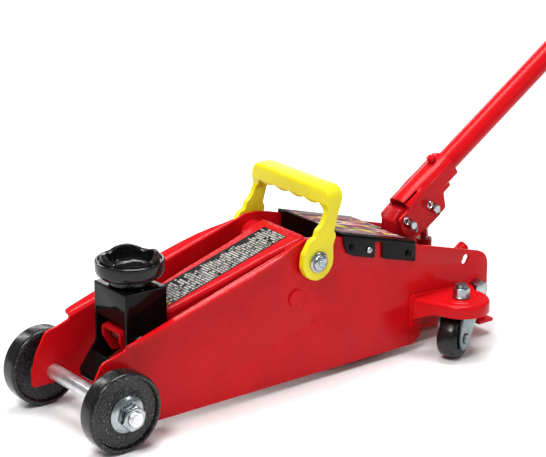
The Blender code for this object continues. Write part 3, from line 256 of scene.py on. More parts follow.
def make_materials():
    return {
        "red_paint": enamel("red_enamel", (0.58, 0.0045, 0.0085)),
        "arm_paint": enamel("arm_enamel", (0.52, 0.0045, 0.010), 0.27),
        "unit_paint": enamel("unit_enamel", (0.42, 0.004, 0.008), 0.34),
        "black_paint": enamel("black_enamel", (0.0040, 0.0036, 0.0042), 0.11, 0.04),
        "cover_black": enamel("cover_enamel", (0.0035, 0.003, 0.003), 0.20, 0.03),
        "cast_black": casting(
            "saddle_casting", (0.0045, 0.0045, 0.005), (0.02, 0.02, 0.022), 0.17, 420.0, 0.22
        ),
        "wheel_black": casting(
            "wheel_casting", (0.006, 0.006, 0.0065), (0.36, 0.36, 0.38), 0.28, 1250.0, 0.8
        ),
        "tread_black": casting(
            "wheel_tread", (0.0055, 0.0055, 0.006), (0.03, 0.03, 0.032), 0.24, 500.0, 0.25
        ),
        "caster_black": moulded("caster_tread", (0.0055, 0.005, 0.0055), 0.27, 500.0),
        "axle_zinc": plated(
            "axle_zinc", (0.80, 0.81, 0.83), (0.62, 0.63, 0.65), 0.40, (900.0, 40.0, 900.0)
        ),
        "zinc": plated("bright_zinc", (0.46, 0.50, 0.52), (0.28, 0.31, 0.33)),
        "fork_zinc": plated("fork_zinc", (0.24, 0.30, 0.31), (0.15, 0.19, 0.20), 0.34),
        "polished_steel": plated("ground_steel", (0.62, 0.62, 0.62), (0.48, 0.48, 0.49), 0.16),
        "spring_steel": plated("spring_wire", (0.36, 0.36, 0.37), (0.22, 0.22, 0.23), 0.36),
        "yellow_plastic": moulded("yellow_plastic", (0.83, 0.72, 0.010)),
        "label": printed_panel(
            "arm_label_print", (0.46, 0.45, 0.42), (0.008, 0.0075, 0.0075), 0.0026, 0.0011, 0.0152
        ),
        "cover_film": streaked_panel("cover_film_print"),
        "label_accent": printed_panel(
            "label_accent", (0.82, 0.52, 0.02), (0.010, 0.009, 0.008), 0.0017, 0.0014, 0.0160
        ),
    }


# ---------------- mesh building


def to_object(name, bm):
    bmesh.ops.remove_doubles(bm, verts=bm.verts, dist=1e-4)
    bmesh.ops.recalc_face_normals(bm, faces=bm.faces)
    mesh = bpy.data.meshes.new(name)
    bm.to_mesh(mesh)
    bm.free()
    mesh.transform(Matrix.Scale(MM, 4) @ Matrix.Translation((FRONT_AXLE_X, 0.0, 0.0)))
    obj = bpy.data.objects.new(name, mesh)
    bpy.context.scene.collection.objects.link(obj)
    return obj


def surface(name, bm):
    return to_object(f"{name}_surface", bm)


def settled(obj):
    """The object with its modifiers made real, so that what follows starts from a plain mesh."""
    graph = bpy.context.evaluated_depsgraph_get()
    mesh = bpy.data.meshes.new_from_object(obj.evaluated_get(graph))
    mesh.name = obj.name
    obj.modifiers.clear()
    obj.data = mesh
    return obj


def bevelled(obj, width, segments, angle):
    """The object with its edges rounded wherever two faces meet at more than the angle in degrees."""
    modifier = obj.modifiers.new("edges", "BEVEL")
    modifier.width = width * MM
    modifier.segments = segments
    modifier.limit_method = "ANGLE"
    modifier.angle_limit = radians(angle)
    return settled(obj)


def combined(obj, other, operation):
    modifier = obj.modifiers.new(operation, "BOOLEAN")
    modifier.operation = operation
    modifier.solver = "EXACT"
    modifier.object = other
    settled(obj)
    bpy.data.objects.remove(other)
    return obj


def cut(obj, bm):
    return combined(obj, to_object("cutter", bm), "DIFFERENCE")


def joined(obj, bm):
    return combined(obj, to_object("addition", bm), "UNION")


def shared(obj, bm):
    return combined(obj, to_object("limit", bm), "INTERSECT")


def finished(obj, material, body, stands_for=(), round_off=0.35, segments=3, angle=36):
    """Rounds the edges, shades and paints a piece, and lets it ride with its body."""
    if round_off:
        bevelled(obj, round_off, segments, angle)
    obj.data.shade_smooth()
    obj.data.set_sharp_from_angle(angle=SHARP_ANGLE)
    obj.data.materials.clear()
    obj.data.materials.append(MATERIALS[material])
    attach(obj, body)
    if stands_for:
        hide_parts(*stands_for)
    return obj


def extruded(corners, offset):
    bm = bmesh.new()
    face = bm.faces.new([bm.verts.new(corner) for corner in corners])
    grown = bmesh.ops.extrude_face_region(bm, geom=[face])
    moved = [item for item in grown["geom"] if isinstance(item, bmesh.types.BMVert)]
    bmesh.ops.translate(bm, verts=moved, vec=offset)
    return bm


def side_prism(outline, y_from, y_to):
    low, high = sorted((y_from, y_to))
    return extruded([(x, low, z) for x, z in outline], (0, high - low, 0))


def plan_prism(outline, z_from, z_to):
    return extruded([(x, y, z_from) for x, y in outline], (0, 0, z_to - z_from))


def lathe(profile, centre, direction, segments=64):
    """A (radius, distance) profile spun about a line through the centre."""
    bm = bmesh.new()
    verts = [bm.verts.new((radius, 0, along)) for radius, along in profile]
    loop = verts + [verts[0]] if profile[0][0] > 0 else verts
    for first, second in zip(loop, loop[1:]):
        bm.edges.new((first, second))
    bmesh.ops.spin(
        bm, geom=bm.verts[:] + bm.edges[:], cent=(0, 0, 0), axis=(0, 0, 1), dvec=(0, 0, 0),
        angle=2 * pi, steps=segments, use_merge=True, use_duplicate=False,
    )
    turn = Vector((0, 0, 1)).rotation_difference(Vector(direction)).to_matrix().to_4x4()
    bmesh.ops.transform(bm, matrix=Matrix.Translation(centre) @ turn, verts=bm.verts)
    return bm


def rod(centre, direction, radius, start, end, segments=48):
    return lathe([(0.0, start), (radius, start), (radius, end), (0.0, end)], centre, direction, segments)


def middle(at):
    """A side-view point (x, z) on the jack's middle plane."""
    return at[0], 0, at[1]


def circle(x, z, radius, segments, start):
    turns = [start + 2 * pi * i / segments for i in range(segments)]
    return [(x + radius * cos(turn), z + radius * sin(turn)) for turn in turns]


def rounded(points, radii, steps=7):
    """The outline with a curve at each corner that has room for it."""
    result = []
    for i, corner in enumerate(points):
        corner = Vector(corner)
        before = Vector(points[i - 1]) - corner
        after = Vector(points[(i + 1) % len(points)]) - corner
        turn = before.angle(after)
        reach = radii[i] / max(abs(sin(turn / 2) / cos(turn / 2)), 1e-6)
        reach = min(reach, before.length * 0.49, after.length * 0.49)
        if reach < 0.05 or turn > radians(176):
            result.append(tuple(corner))
            continue
        start = corner + before.normalized() * reach
        end = corner + after.normalized() * reach
        for step in range(steps + 1):
            t = step / steps
            result.append(tuple(start.lerp(corner, t).lerp(corner.lerp(end, t), t)))
    return result


def lofted(sections):
    """A closed body through loops of equal count."""
    bm = bmesh.new()
    rings = [[bm.verts.new(point) for point in section] for section in sections]
    count = len(rings[0])
    for first, second in zip(rings, rings[1:]):
        for i in range(count):
            j = (i + 1) % count
            bm.faces.new((first[i], first[j], second[j], second[i]))
    bm.faces.new(rings[0])
    bm.faces.new(rings[-1])
    return bm


def interpolated(table, x):
    """Value at x of a table of (x, value) joined by straight lines."""
    for (x0, v0), (x1, v1) in zip(table, table[1:]):
        if x <= x1:
            t = min(max((x - x0) / (x1 - x0), 0.0), 1.0)
            return v0 + (v1 - v0) * t
    return table[-1][1]


def hex_head(at, y_from, y_to, across, turn):
    """A hexagon whose outer corners are turned down, as a nut's are."""
    low, high = sorted((y_from, y_to))
    head = to_object("head", side_prism(circle(*at, across / 2 / cos(pi / 6), 6, turn), low, high))
    reach = across / 2 / cos(pi / 6) + 0.2
    drop = reach * 0.16
    dome = [
        (0.0, low), (reach - drop * 1.4, low), (reach, low + drop * 0.8), (reach, high - drop * 0.8),
        (reach - drop * 1.4, high), (0.0, high),
    ]
    return shared(head, lathe(dome, middle(at), (0, 1, 0), 48))


def threaded(centre, direction, radius, start, end):
    """A stud whose surface runs in ridges like a thread."""
    steps = max(2, int((end - start) / THREAD_PITCH * 2))
    profile = [(0.0, start)]
    for i in range(steps + 1):
        profile.append((radius - (THREAD_DEPTH if i % 2 else 0.0), start + (end - start) * i / steps))
    profile.append((0.0, end))
    return lathe(profile, centre, direction, 32)


def cross_rod(at, radius, half=60, segments=48):
    """A cylinder across the jack through a pivot, for a bore or a pin."""
    return rod(middle(at), (0, 1, 0), radius, -half, half, segments)


def handle_direction():
    return Vector((cos(HANDLE_ANGLE), 0, sin(HANDLE_ANGLE)))


def across_handle():
    return Vector((-sin(HANDLE_ANGLE), 0, cos(HANDLE_ANGLE)))


def along_handle(distance, across=0.0):
    x = HANDLE_START[0] + distance * cos(HANDLE_ANGLE) - across * sin(HANDLE_ANGLE)
    z = HANDLE_START[1] + distance * sin(HANDLE_ANGLE) + across * cos(HANDLE_ANGLE)
    return x, z


# ---------------- wheels and front axle

WHEEL_PROFILE = [
    (6.9, 8.2), (15.2, 8.2), (16.2, 7.8), (17.4, 6.8), (18.8, 6.0), (20.4, 5.5),
    (22.0, 5.2), (27.4, 5.2), (28.6, 5.6), (29.3, 6.9), (29.9, 8.1), (30.7, 8.55), (31.5, 8.55),
    (32.3, 8.2), (33.0, 7.4), (33.4, 6.3), (33.5, 5.2), (33.5, -5.2), (33.4, -6.3), (33.0, -7.4),
    (32.3, -8.2), (31.5, -8.55), (30.3, -8.55), (28.8, -6.4), (28.2, -6.0), (15.4, -6.0), (14.0, -7.4),
    (13.0, -9.0), (13.0, -14.4), (12.4, -15.0), (6.9, -15.0),
]
WASHER_PROFILE = [
    (6.9, 68.1), (15.0, 68.1), (15.5, 68.5), (15.4, 69.0), (14.2, 69.9), (12.4, 70.8), (10.4, 71.3),
    (9.8, 71.4), (6.9, 71.4),
]


WHEEL_MIDDLE_Y = 59.6
TREAD_NORMAL_LIMIT = 0.75  # faces that look less than this along the axle belong to the tread
AXLE_NUT_FACE, AXLE_NUT_END, AXLE_NUT_ACROSS, AXLE_NUT_TURN = 71.7, 80.0, 19.0, 0.25


def front_wheel(side):
    """A cast wheel with a raised rim and a sunk face."""
    name = f"front_wheel_{SIDE_NAMES[side]}"
    bm = lathe(WHEEL_PROFILE, (0, side * WHEEL_MIDDLE_Y, AXLE_Z), (0, side, 0), 96)
    wheel = finished(surface(name, bm), "wheel_black", name, [name], round_off=0)
    wheel.data.materials.append(MATERIALS["tread_black"])
    for polygon in wheel.data.polygons:
        polygon.material_index = int(abs(polygon.normal.y) < TREAD_NORMAL_LIMIT)


def front_hardware(side):
    tag = SIDE_NAMES[side]
    washer = surface(f"axle_washer_{tag}", lathe(WASHER_PROFILE, (0, 0, AXLE_Z), (0, side, 0), 72))
    finished(washer, "zinc", "frame", [f"axle_washer_{tag}"], round_off=0)
    nut = hex_head((0.0, AXLE_Z), side * AXLE_NUT_FACE, side * AXLE_NUT_END, AXLE_NUT_ACROSS, AXLE_NUT_TURN)
    nut.name = f"axle_nut_{tag}_surface"
    cut(nut, lathe([(0, 60), (6.35, 60), (6.35, 90), (0, 90)], (0, 0, AXLE_Z), (0, side, 0), 40))
    finished(nut, "zinc", "frame", [f"axle_nut_{tag}"], round_off=0.25)


def front_axle():
    axle = surface("front_axle", rod((0, 0, AXLE_Z), (0, 1, 0), 6.5, -71.5, 71.5, 64))
    for side in (NEAR, FAR):
        joined(axle, threaded((0, 0, AXLE_Z), (0, side, 0), 6.0, 71.0, 82.4))
        joined(axle, rod((0, 0, AXLE_Z), (0, side, 0), 4.6, 80.0, 83.0, 40))
    finished(axle, "axle_zinc", "frame", ["front_axle"], round_off=0.3)


# ---------------- side plates

WEB_OUTLINE = [
    (17.5, 78.0), (16.5, 75.5), (5.0, 71.5), (-6.0, 69.5), (-16.0, 51.0), (-20.0, 36.0),
    (-20.0, 23.5), (-15.0, 23.5), (20.0, 23.5), (37.0, 7.2), (321.0, 7.2), (329.5, 14.0),
    (329.5, 40.5), (393.0, 40.5), (393.0, 15.2), (409.7, 15.2), (409.7, 76.0),
    (226.0, 127.9), (212.0, 131.2), (199.0, 131.4), (188.0, 127.9),
]
WEB_CORNERS = [1, 3, 6, 9, 12, 10, 4, 3, 8, 6, 7, 4, 5, 5, 1, 3, 17, 10, 12, 10, 4]
FLANGE_SLOPE = 0.2795
FLANGE_WIDTH = [
    (17.5, 5.6), (22.0, 6.6), (44.0, 8.2), (82.0, 9.4), (122.0, 9.8), (137.5, 9.4), (154.0, 8.0),
    (166.7, 5.4), (178.5, 2.2), (187.0, 0.6),
]
FLANGE_RISE = 0.10
FLANGE_START, FLANGE_END, FLANGE_STEPS = 17.6, 186.6, 34
BEND_RADIUS = 3.2
SHEET = 2.5
BOSS_PROFILE = [(0, 43), (11.5, 43), (11.5, 44.6), (10.6, 45.4), (0, 45.4)]
DIMPLE, DIMPLE_PROFILE = (205, 57), [(0, 43.4), (2.2, 43.4), (3.0, 46.0), (0, 46.0)]
SLOT_RADIUS, SLOT_REACH = 3.8, (0.7, 0.9)


def flange_z(x):
    return 80.8 + FLANGE_SLOPE * (x - 17.5)


def side_plate(side):
    """Pressed sheet: a flat web that bends out into a curved lip along its sloping top edge."""
    name = f"side_plate_{SIDE_NAMES[side]}"
    outline = rounded(WEB_OUTLINE, WEB_CORNERS)
    plate = surface(name, side_prism(outline, side * PLATE_INNER_Y, side * PLATE_OUTER_Y))
    sections = []
    for i in range(FLANGE_STEPS + 1):
        x = FLANGE_START + (FLANGE_END - FLANGE_START) * i / FLANGE_STEPS
        width = interpolated(FLANGE_WIDTH, x)
        top = flange_z(x)
        reach = min(BEND_RADIUS, width * 0.8)
        outer, inner = [], []
        for step in range(7):
            turn = pi / 2 * step / 6
            y = PLATE_OUTER_Y + reach - reach * cos(turn)
            outer.append((y, top - SHEET - reach + reach * sin(turn)))
            big = reach + SHEET
            inner.append((PLATE_OUTER_Y + reach - big * cos(turn), top - big + big * sin(turn)))
        end = PLATE_OUTER_Y + width
        outer.append((end, top - SHEET + FLANGE_RISE * width))
        inner.append((end, top + FLANGE_RISE * width))
        root = top - SHEET - BEND_RADIUS - 4.0
        path = [(PLATE_OUTER_Y, root)] + outer + inner[::-1] + [(PLATE_INNER_Y, root)]
        sections.append([(x, side * y, z) for y, z in path])
    joined(plate, lofted(sections))
    joined(plate, lathe(BOSS_PROFILE, middle(TIE_BOLT), (0, side, 0), 56))
    upper, lower = slot_end(0, 1), slot_end(pi, -1)
    cut(plate, side_prism(upper + lower, side * 38, side * 50))
    cut(plate, lathe(DIMPLE_PROFILE, middle(DIMPLE), (0, side, 0), 32))
    finished(plate, "red_paint", "frame", [name], round_off=0.55, segments=3, angle=40)


def slot_end(start, sign):
    """Half a circle at one end of the slot through the plate's rear."""
    x, z = SLOT[0] + sign * SLOT_REACH[0], SLOT[1] + sign * SLOT_REACH[1]
    turns = [start + pi * i / 8 for i in range(9)]
    return [(x + SLOT_RADIUS * cos(turn), z + SLOT_RADIUS * sin(turn)) for turn in turns]


# ---------------- lift arm and head

ARM_SLOPE = 0.285
ARM_HALF = [
    (30.5, 14.0), (44.0, 14.0), (66.0, 18.5), (75.0, 21.8), (126.0, 25.4), (165.0, 26.4), (190.0, 29.0),
    (207.0, 31.0),
]
ARM_BOTTOM = [
    (30.5, 68.0), (34.0, 62.0), (38.0, 53.4), (47.0, 53.0), (60.0, 58.0), (100.0, 70.5), (170.0, 90.0),
    (188.0, 94.5), (207.0, 97.5),
]
ARM_START, ARM_END, ARM_STEPS = 30.5, 207.0, 45
ARM_SHEET = 3.0
ARM_CORNER = 4.5
ARM_TUBE_RADIUS, ARM_TUBE_HALF = 13.0, 40.9
CHEEK = [
    (186.0, 94.0), (199.0, 96.5), (209.0, 97.5), (218.7, 95.6), (234.5, 87.4), (239.5, 86.2), (245.0, 89.5),
    (246.0, 95.5), (241.6, 100.8), (222.0, 112.0), (216.0, 124.0), (208.5, 126.8), (186.0, 121.0),
]


def arm_z(x):
    return 126.4 + ARM_SLOPE * (x - 200.0)


def lift_arm():
    """A pressed channel, open below, that widens from its tip to the main pivot."""
    sections = []
    small = ARM_CORNER - ARM_SHEET + 0.8
    for i in range(ARM_STEPS + 1):
        x = ARM_START + (ARM_END - ARM_START) * i / ARM_STEPS
        half, top, bottom = interpolated(ARM_HALF, x), arm_z(x), interpolated(ARM_BOTTOM, x)
        outer, inner = [], []
        for step in range(7):
            turn = pi / 2 * step / 6
            outer.append((half - ARM_CORNER + ARM_CORNER * cos(turn),
                          top - ARM_CORNER + ARM_CORNER * sin(turn)))
            inner.append((half - ARM_SHEET - small + small * cos(turn),
                          top - ARM_SHEET - small + small * sin(turn)))
        right = [(half, bottom)] + outer
        right_inner = [(half - ARM_SHEET, bottom)] + inner
        path = right + [(-y, z) for y, z in right[::-1]]
        path += [(-y, z) for y, z in right_inner] + right_inner[::-1]
        sections.append([(x, y, z) for y, z in path])
    arm = surface("lift_arm", lofted(sections))
    for side in (NEAR, FAR):
        joined(arm, side_prism(rounded(CHEEK, [2] * len(CHEEK), 4), side * 28.0, side * 31.0))
    joined(arm, cross_rod(MAIN_PIVOT, ARM_TUBE_RADIUS, ARM_TUBE_HALF, 64))
    cut(arm, cross_rod(MAIN_PIVOT, PIVOT_BORE_RADIUS))
    cut(arm, cross_rod(ARM_TIP_PIVOT, ARM_PIN_BORE_RADIUS))
    finished(arm, "arm_paint", "arm", ["lift_arm"], round_off=0.4)


LABEL_X = (80.0, 199.0)
LABEL_HALF = 16.2
ACCENT_X, ACCENT_END = (76.2, 79.6), -1.0
FILM, FILM_FOOT = 0.12, 0.05


def arm_label():
    """A film on the arm's top, with a short coloured strip at its front corner."""
    for name, (low, high), (near, far), material in (
        ("arm_label", LABEL_X, (-LABEL_HALF, LABEL_HALF), "label"),
        ("arm_label_strip", ACCENT_X, (-LABEL_HALF, ACCENT_END), "label_accent"),
    ):
        corners = [
            (low, arm_z(low) + FILM_FOOT), (high, arm_z(high) + FILM_FOOT), (high, arm_z(high) + FILM),
            (low, arm_z(low) + FILM),
        ]
        film = to_object(name, side_prism(corners, near, far))
        finished(film, material, "arm", round_off=0)


BRACKET_OUTLINE = [
    (30.0, 112.5), (30.0, 61.0), (13.5, 39.0), (15.0, 30.5), (30.0, 29.5), (47.0, 45.0),
    (62.0, 51.0), (70.0, 62.0), (70.0, 112.5),
]
BRACKET_HOLLOW = [
    (33.0, 109.0), (33.0, 85.0), (5.0, 85.0), (5.0, 53.0), (27.0, 53.0), (17.4, 39.8),
    (17.4, 20.0), (80.0, 20.0), (80.0, 109.0),
]


def saddle_bracket():
    outline = rounded(BRACKET_OUTLINE, [2, 6, 5, 5, 6, 8, 8, 6, 2])
    bracket = surface("saddle_bracket", side_prism(outline, -24.0, 24.0))
    bevelled(bracket, 1.8, 5, 50)
    cut(bracket, side_prism(BRACKET_HOLLOW, -21.0, 21.0))
    cut(bracket, cross_rod(ARM_TIP_PIVOT, ARM_PIN_BORE_RADIUS))
    cut(bracket, cross_rod(LINK_TIP_PIVOT, LINK_PIN_BORE_RADIUS))
    cut(bracket, rod((SADDLE_X, 0, 0), (0, 0, 1), SADDLE_BORE_RADIUS, 106, 116))
    finished(bracket, "black_paint", "head", ["saddle_bracket"], round_off=0.3)


SADDLE_PROFILE = [
    (0.0, 99.0), (7.0, 99.0), (7.8, 99.8), (7.8, 101.6), (6.4, 101.6), (6.4, 104.0), (7.8, 104.0),
    (7.8, 112.9), (16.8, 112.9), (17.5, 113.6), (17.5, 117.8), (18.3, 118.6), (23.2, 119.1),
    (25.4, 119.9), (27.2, 121.4), (28.2, 123.4), (28.6, 125.6), (28.6, 131.9), (28.3, 132.9),
    (27.5, 133.45), (26.5, 133.3), (25.8, 132.4),
    (25.2, 131.4), (24.7, 131.3), (24.3, 132.2), (23.9, 133.3), (23.1, 133.9), (22.0, 134.0), (20.6, 134.0),
    (19.6, 133.4), (19.0, 131.0), (18.4, 128.0), (17.6, 126.0), (16.4, 124.9), (15.0, 124.6), (0.0, 124.6),
]
CROWN_LOBES, CROWN_PHASE, CROWN_RISE = 4, radians(66), 4.75
CROWN_FOOT_Z, CROWN_RADIUS, CROWN_BLEND = 130.5, 24.5, 3.2


def saddle():
    """A cast cup with a crown of lobes inside its rim."""
    bm = lathe(SADDLE_PROFILE, (SADDLE_X, 0, 0), (0, 0, 1), 160)
    bmesh.ops.remove_doubles(bm, verts=bm.verts, dist=1e-4)
    for vert in bm.verts:
        radius = hypot(vert.co.x - SADDLE_X, vert.co.y)
        if vert.co.z > CROWN_FOOT_Z and radius < CROWN_RADIUS:
            share = min((vert.co.z - CROWN_FOOT_Z) / CROWN_BLEND, 1.0)
            turn = atan2(vert.co.y, vert.co.x - SADDLE_X) - CROWN_PHASE
            vert.co.z += CROWN_RISE * share * (0.5 + 0.5 * cos(CROWN_LOBES * turn)) ** 0.5
    finished(surface("saddle", bm), "cast_black", "saddle", ["saddle"], round_off=0)


def tip_pins():
    """The two pins through the saddle bracket."""
    pins = (
        (ARM_TIP_PIVOT, 6.0, 26.0, "arm_tip_pin", "arm"),
        (LINK_TIP_PIVOT, 4.0, 26.5, "link_tip_pin", "head"),
    )
    for at, radius, half, name, body in pins:
        pin = surface(name, cross_rod(at, radius, half, 40))
        finished(pin, "zinc", body, [name], round_off=0.7)


# ---------------- carrying handle

BAIL_SIDE = [
    (188.7, 108.1), (191.7, 102.0), (196.8, 97.6), (203.4, 95.7), (210.1, 96.7), (215.8, 100.3),
    (219.6, 105.9), (220.8, 112.0), (220.4, 124.0), (223.0, 130.5), (223.0, 133.0), (221.3, 136.5),
    (225.2, 150.0), (229.8, 163.0), (229.8, 176.0), (213.8, 176.0), (213.0, 160.0), (214.6, 155.0),
    (211.2, 147.0),
    (208.0, 142.5), (204.0, 139.5), (202.0, 133.5), (196.5, 131.5), (189.5, 121.0), (188.2, 112.0),
]
BAIL_SIDE_CORNERS = [5, 5, 5, 5, 5, 5, 5, 4, 6, 2, 1, 2, 8, 6, 7.9, 7.9, 2, 2, 5, 2, 2, 2, 3, 5, 5]
BAIL_OUTER, BAIL_INNER, BAIL_GRIP = 52.0, 46.7, 43.0
BAIL_TOP, BAIL_UNDER = 176.0, 160.0
BAIL_BORE_RADIUS = 5.4
FINGER_BUMPS, FINGER_DEPTH = 4, 2.4


def carry_handle():
    """One moulded bail: two legs, rounded shoulders and a grip with finger bumps."""
    left = [(-BAIL_OUTER, 90.0), (-BAIL_INNER, 90.0), (-BAIL_INNER, 152.0), (-BAIL_GRIP, 158.0)]
    grip = []
    for i in range(65):
        share = i / 64
        bump = FINGER_DEPTH * abs(sin(pi * FINGER_BUMPS * share))
        grip.append((-BAIL_GRIP + 2.0 + (2 * BAIL_GRIP - 4.0) * share, BAIL_UNDER - bump))
    right = [(-y, z) for y, z in reversed(left)]
    top = rounded(
        [(BAIL_OUTER, 120.0), (BAIL_OUTER, BAIL_TOP), (-BAIL_OUTER, BAIL_TOP), (-BAIL_OUTER, 120.0)],
        [0, 14, 14, 0], 12,
    )
    face = extruded([(170.0, y, z) for y, z in left + grip + right + top], (80.0, 0, 0))
    bail = surface("carry_handle", face)
    shared(bail, side_prism(rounded(BAIL_SIDE, BAIL_SIDE_CORNERS), -60.0, 60.0))
    cut(bail, cross_rod(MAIN_PIVOT, BAIL_BORE_RADIUS))
    finished(bail, "yellow_plastic", "carry_handle", ["carry_handle"], round_off=2.3, segments=6, angle=44)


def carry_bolt(side):
    name = f"carry_bolt_{SIDE_NAMES[side]}"
    outer = BAIL_OUTER + 0.3
    profile = [
        (0.0, 28.0), (4.0, 28.0), (4.0, 44.2), (5.0, 44.2), (5.0, outer), (9.0, outer), (9.3, outer + 0.4),
        (9.2, outer + 1.2), (8.5, outer + 1.8), (7.5, outer + 2.1), (7.2, outer + 1.9), (7.1, outer + 2.6),
        (6.9, outer + 3.5), (6.3, outer + 4.2), (5.2, outer + 4.7), (4.0, outer + 4.9), (3.7, outer + 4.5),
        (3.0, outer + 4.4), (2.7, outer + 4.9), (1.2, outer + 5.0), (0.0, outer + 5.0),
    ]
    bolt = surface(name, lathe(profile, middle(MAIN_PIVOT), (0, side, 0), 72))
    finished(bolt, "zinc", "frame", [name], round_off=0)


# ---------------- cover

COVER_HALF, COVER_SLOPE, COVER_SHEET = 46.0, -0.283, 1.5
COVER_FILM_X, COVER_FILM_HALF, COVER_FILM_FOOT = (241.0, 316.0), 38.0, 0.04
FOLD_LENGTH, FOLD_HEIGHT = 60.0, 0.100  # least length in millimetres, least height in metres
COVER_OUTLINE = [
    (237.0, 128.3), (237.5, 119.0), (241.0, 110.0), (248.0, 106.4), (272.0, 99.6), (272.5, 114.6),
    (280.5, 112.3), (281.0, 97.1), (319.5, 86.4), (319.5, 104.95),
]


def cover_z(x):
    return 128.3 + COVER_SLOPE * (x - 237.0)


def top_cover():
    outline = rounded(COVER_OUTLINE, [0, 0, 5, 5, 2, 2, 2, 2, 2, 0], 4)
    cover = surface("top_cover", side_prism(outline, -COVER_HALF, COVER_HALF))
    modifier = cover.modifiers.new("folds", "BEVEL")
    modifier.width = 2.2 * MM
    modifier.segments = 5
    modifier.limit_method = "WEIGHT"
    mark_long_edges(cover)
    settled(cover)
    front, back = 225.0, 330.0
    inner = [(front, cover_z(front) - COVER_SHEET), (back, cover_z(back) - COVER_SHEET), (back, 60.0),
             (front, 60.0)]
    cut(cover, side_prism(inner, -COVER_HALF + COVER_SHEET, COVER_HALF - COVER_SHEET))
    lip = [(237.0, 110.0), (238.5, 110.0), (238.5, 127.0), (237.0, 127.4)]
    joined(cover, side_prism(lip, -41.0, 41.0))
    finished(cover, "cover_black", "frame", ["top_cover"], round_off=0.3)
    low, high = COVER_FILM_X
    places = ((low, COVER_FILM_FOOT), (high, COVER_FILM_FOOT), (high, FILM), (low, FILM))
    corners = [(x, cover_z(x) + lift) for x, lift in places]
    film = to_object("cover_film", side_prism(corners, -COVER_FILM_HALF, COVER_FILM_HALF))
    finished(film, "cover_film", "frame", round_off=0)


def mark_long_edges(obj):
    """Gives the bevel weight to the two long folds at the top of the cover."""
    weights = obj.data.attributes.new("bevel_weight_edge", "FLOAT", "EDGE")
    for edge in obj.data.edges:
        first, second = (obj.data.vertices[i].co for i in edge.vertices)
        along_x = abs(first.x - second.x) > FOLD_LENGTH * MM
        if along_x and min(first.z, second.z) > FOLD_HEIGHT:
            weights.data[edge.index].value = 1.0


COVER_SCREWS = [(246.5, 114.3), (311.3, 95.6)]
COVER_RIVET = (265.5, 108.2)


COVER_FACE = COVER_HALF + 0.3
# A head is given as radius and height over the cover's skirt.
SCREW_HEAD = [(3.1, 0.0), (3.2, 0.5), (2.9, 1.3), (2.1, 1.9), (0.0, 2.1)]
RIVET_HEAD = [(2.7, 0.0), (2.8, 0.5), (2.4, 1.4), (1.4, 2.2), (0.0, 2.4)]
CROSS_BAR = [(-1.9, -0.35, 0), (1.9, -0.35, 0), (1.9, 0.35, 0), (-1.9, 0.35, 0)]
CROSS_FLOOR = COVER_FACE + 1.1


def headed(name, at, side, head):
    shank = [(0.0, 38.5), (1.8, 38.5), (1.8, COVER_FACE)]
    profile = shank + [(radius, COVER_FACE + rise) for radius, rise in head]
    return surface(name, lathe(profile, middle(at), (0, side, 0), 32))


def cover_fasteners(side):
    """Two cross-head screws and a rivet in the cover's skirt."""
    tag = SIDE_NAMES[side]
    for index, at in enumerate(COVER_SCREWS):
        name = f"cover_screw_{tag}_{index + 1}"
        screw = headed(name, at, side, SCREW_HEAD)
        place = Matrix.Translation((at[0], side * CROSS_FLOOR, at[1]))
        place = place @ Matrix.Rotation(-side * pi / 2, 4, "X")
        for turn in (0.4, 0.4 + pi / 2):
            bar = extruded(CROSS_BAR, (0, 0, 3.0))
            bmesh.ops.transform(bar, matrix=place @ Matrix.Rotation(turn, 4, "Z"), verts=bar.verts)
            cut(screw, bar)
        finished(screw, "black_paint", "frame", [name], round_off=0)
    name = f"cover_rivet_{tag}"
    finished(headed(name, COVER_RIVET, side, RIVET_HEAD), "zinc", "frame", [name], round_off=0)


# ---------------- pumping handle

EAR_OUTLINE = [
    (329.0, 113.5), (333.0, 101.0), (345.0, 95.5), (360.0, 98.5), (376.0, 109.0), (384.0, 115.5),
    (381.0, 129.0), (386.0, 140.0), (374.0, 145.0), (345.0, 125.5),
]
EAR_CORNERS = [4, 6, 8, 10, 6, 4, 4, 2, 2, 4]
FULCRUM = (341.0, 108.0)
PLUNGER_PIN = (368.5, 118.2)
SOCKET_RADIUS, SOCKET_FLATNESS = 13.4, 1.16
LOCK_BOLT_AT = 58.0


def socket_section(distance, shrink):
    """The socket's outline across the handle: round above and below, flat at the sides."""
    points = []
    for turn in (2 * pi * i / 72 for i in range(72)):
        y = (SOCKET_RADIUS - shrink) * min(max(SOCKET_FLATNESS * cos(turn), -1.0), 1.0)
        x, z = along_handle(distance, (SOCKET_RADIUS - shrink) * sin(turn))
        points.append((x, y, z))
    return points


SEAM = [  # distance along the handle, height across it, y and radius
    (8.5, 0.6, 12.8, 1.4), (16.5, 4.4, 12.2, 1.9), (24.0, 8.2, 10.0, 2.2),
    (31.0, 9.8, 8.7, 1.9), (40.0, 10.2, 8.8, 1.1), (67.5, 10.3, 8.8, 1.0),
]


def seam_sections(side):
    """Rings of a slim bead along the fold where the tube flattens into an ear."""
    rings = []
    for distance, across, y, radius in SEAM:
        x, z = along_handle(distance, across)
        turns = (2 * pi * i / 12 for i in range(12))
        rings.append([(x, side * (y + radius * cos(turn)), z + radius * sin(turn)) for turn in turns])
    return rings


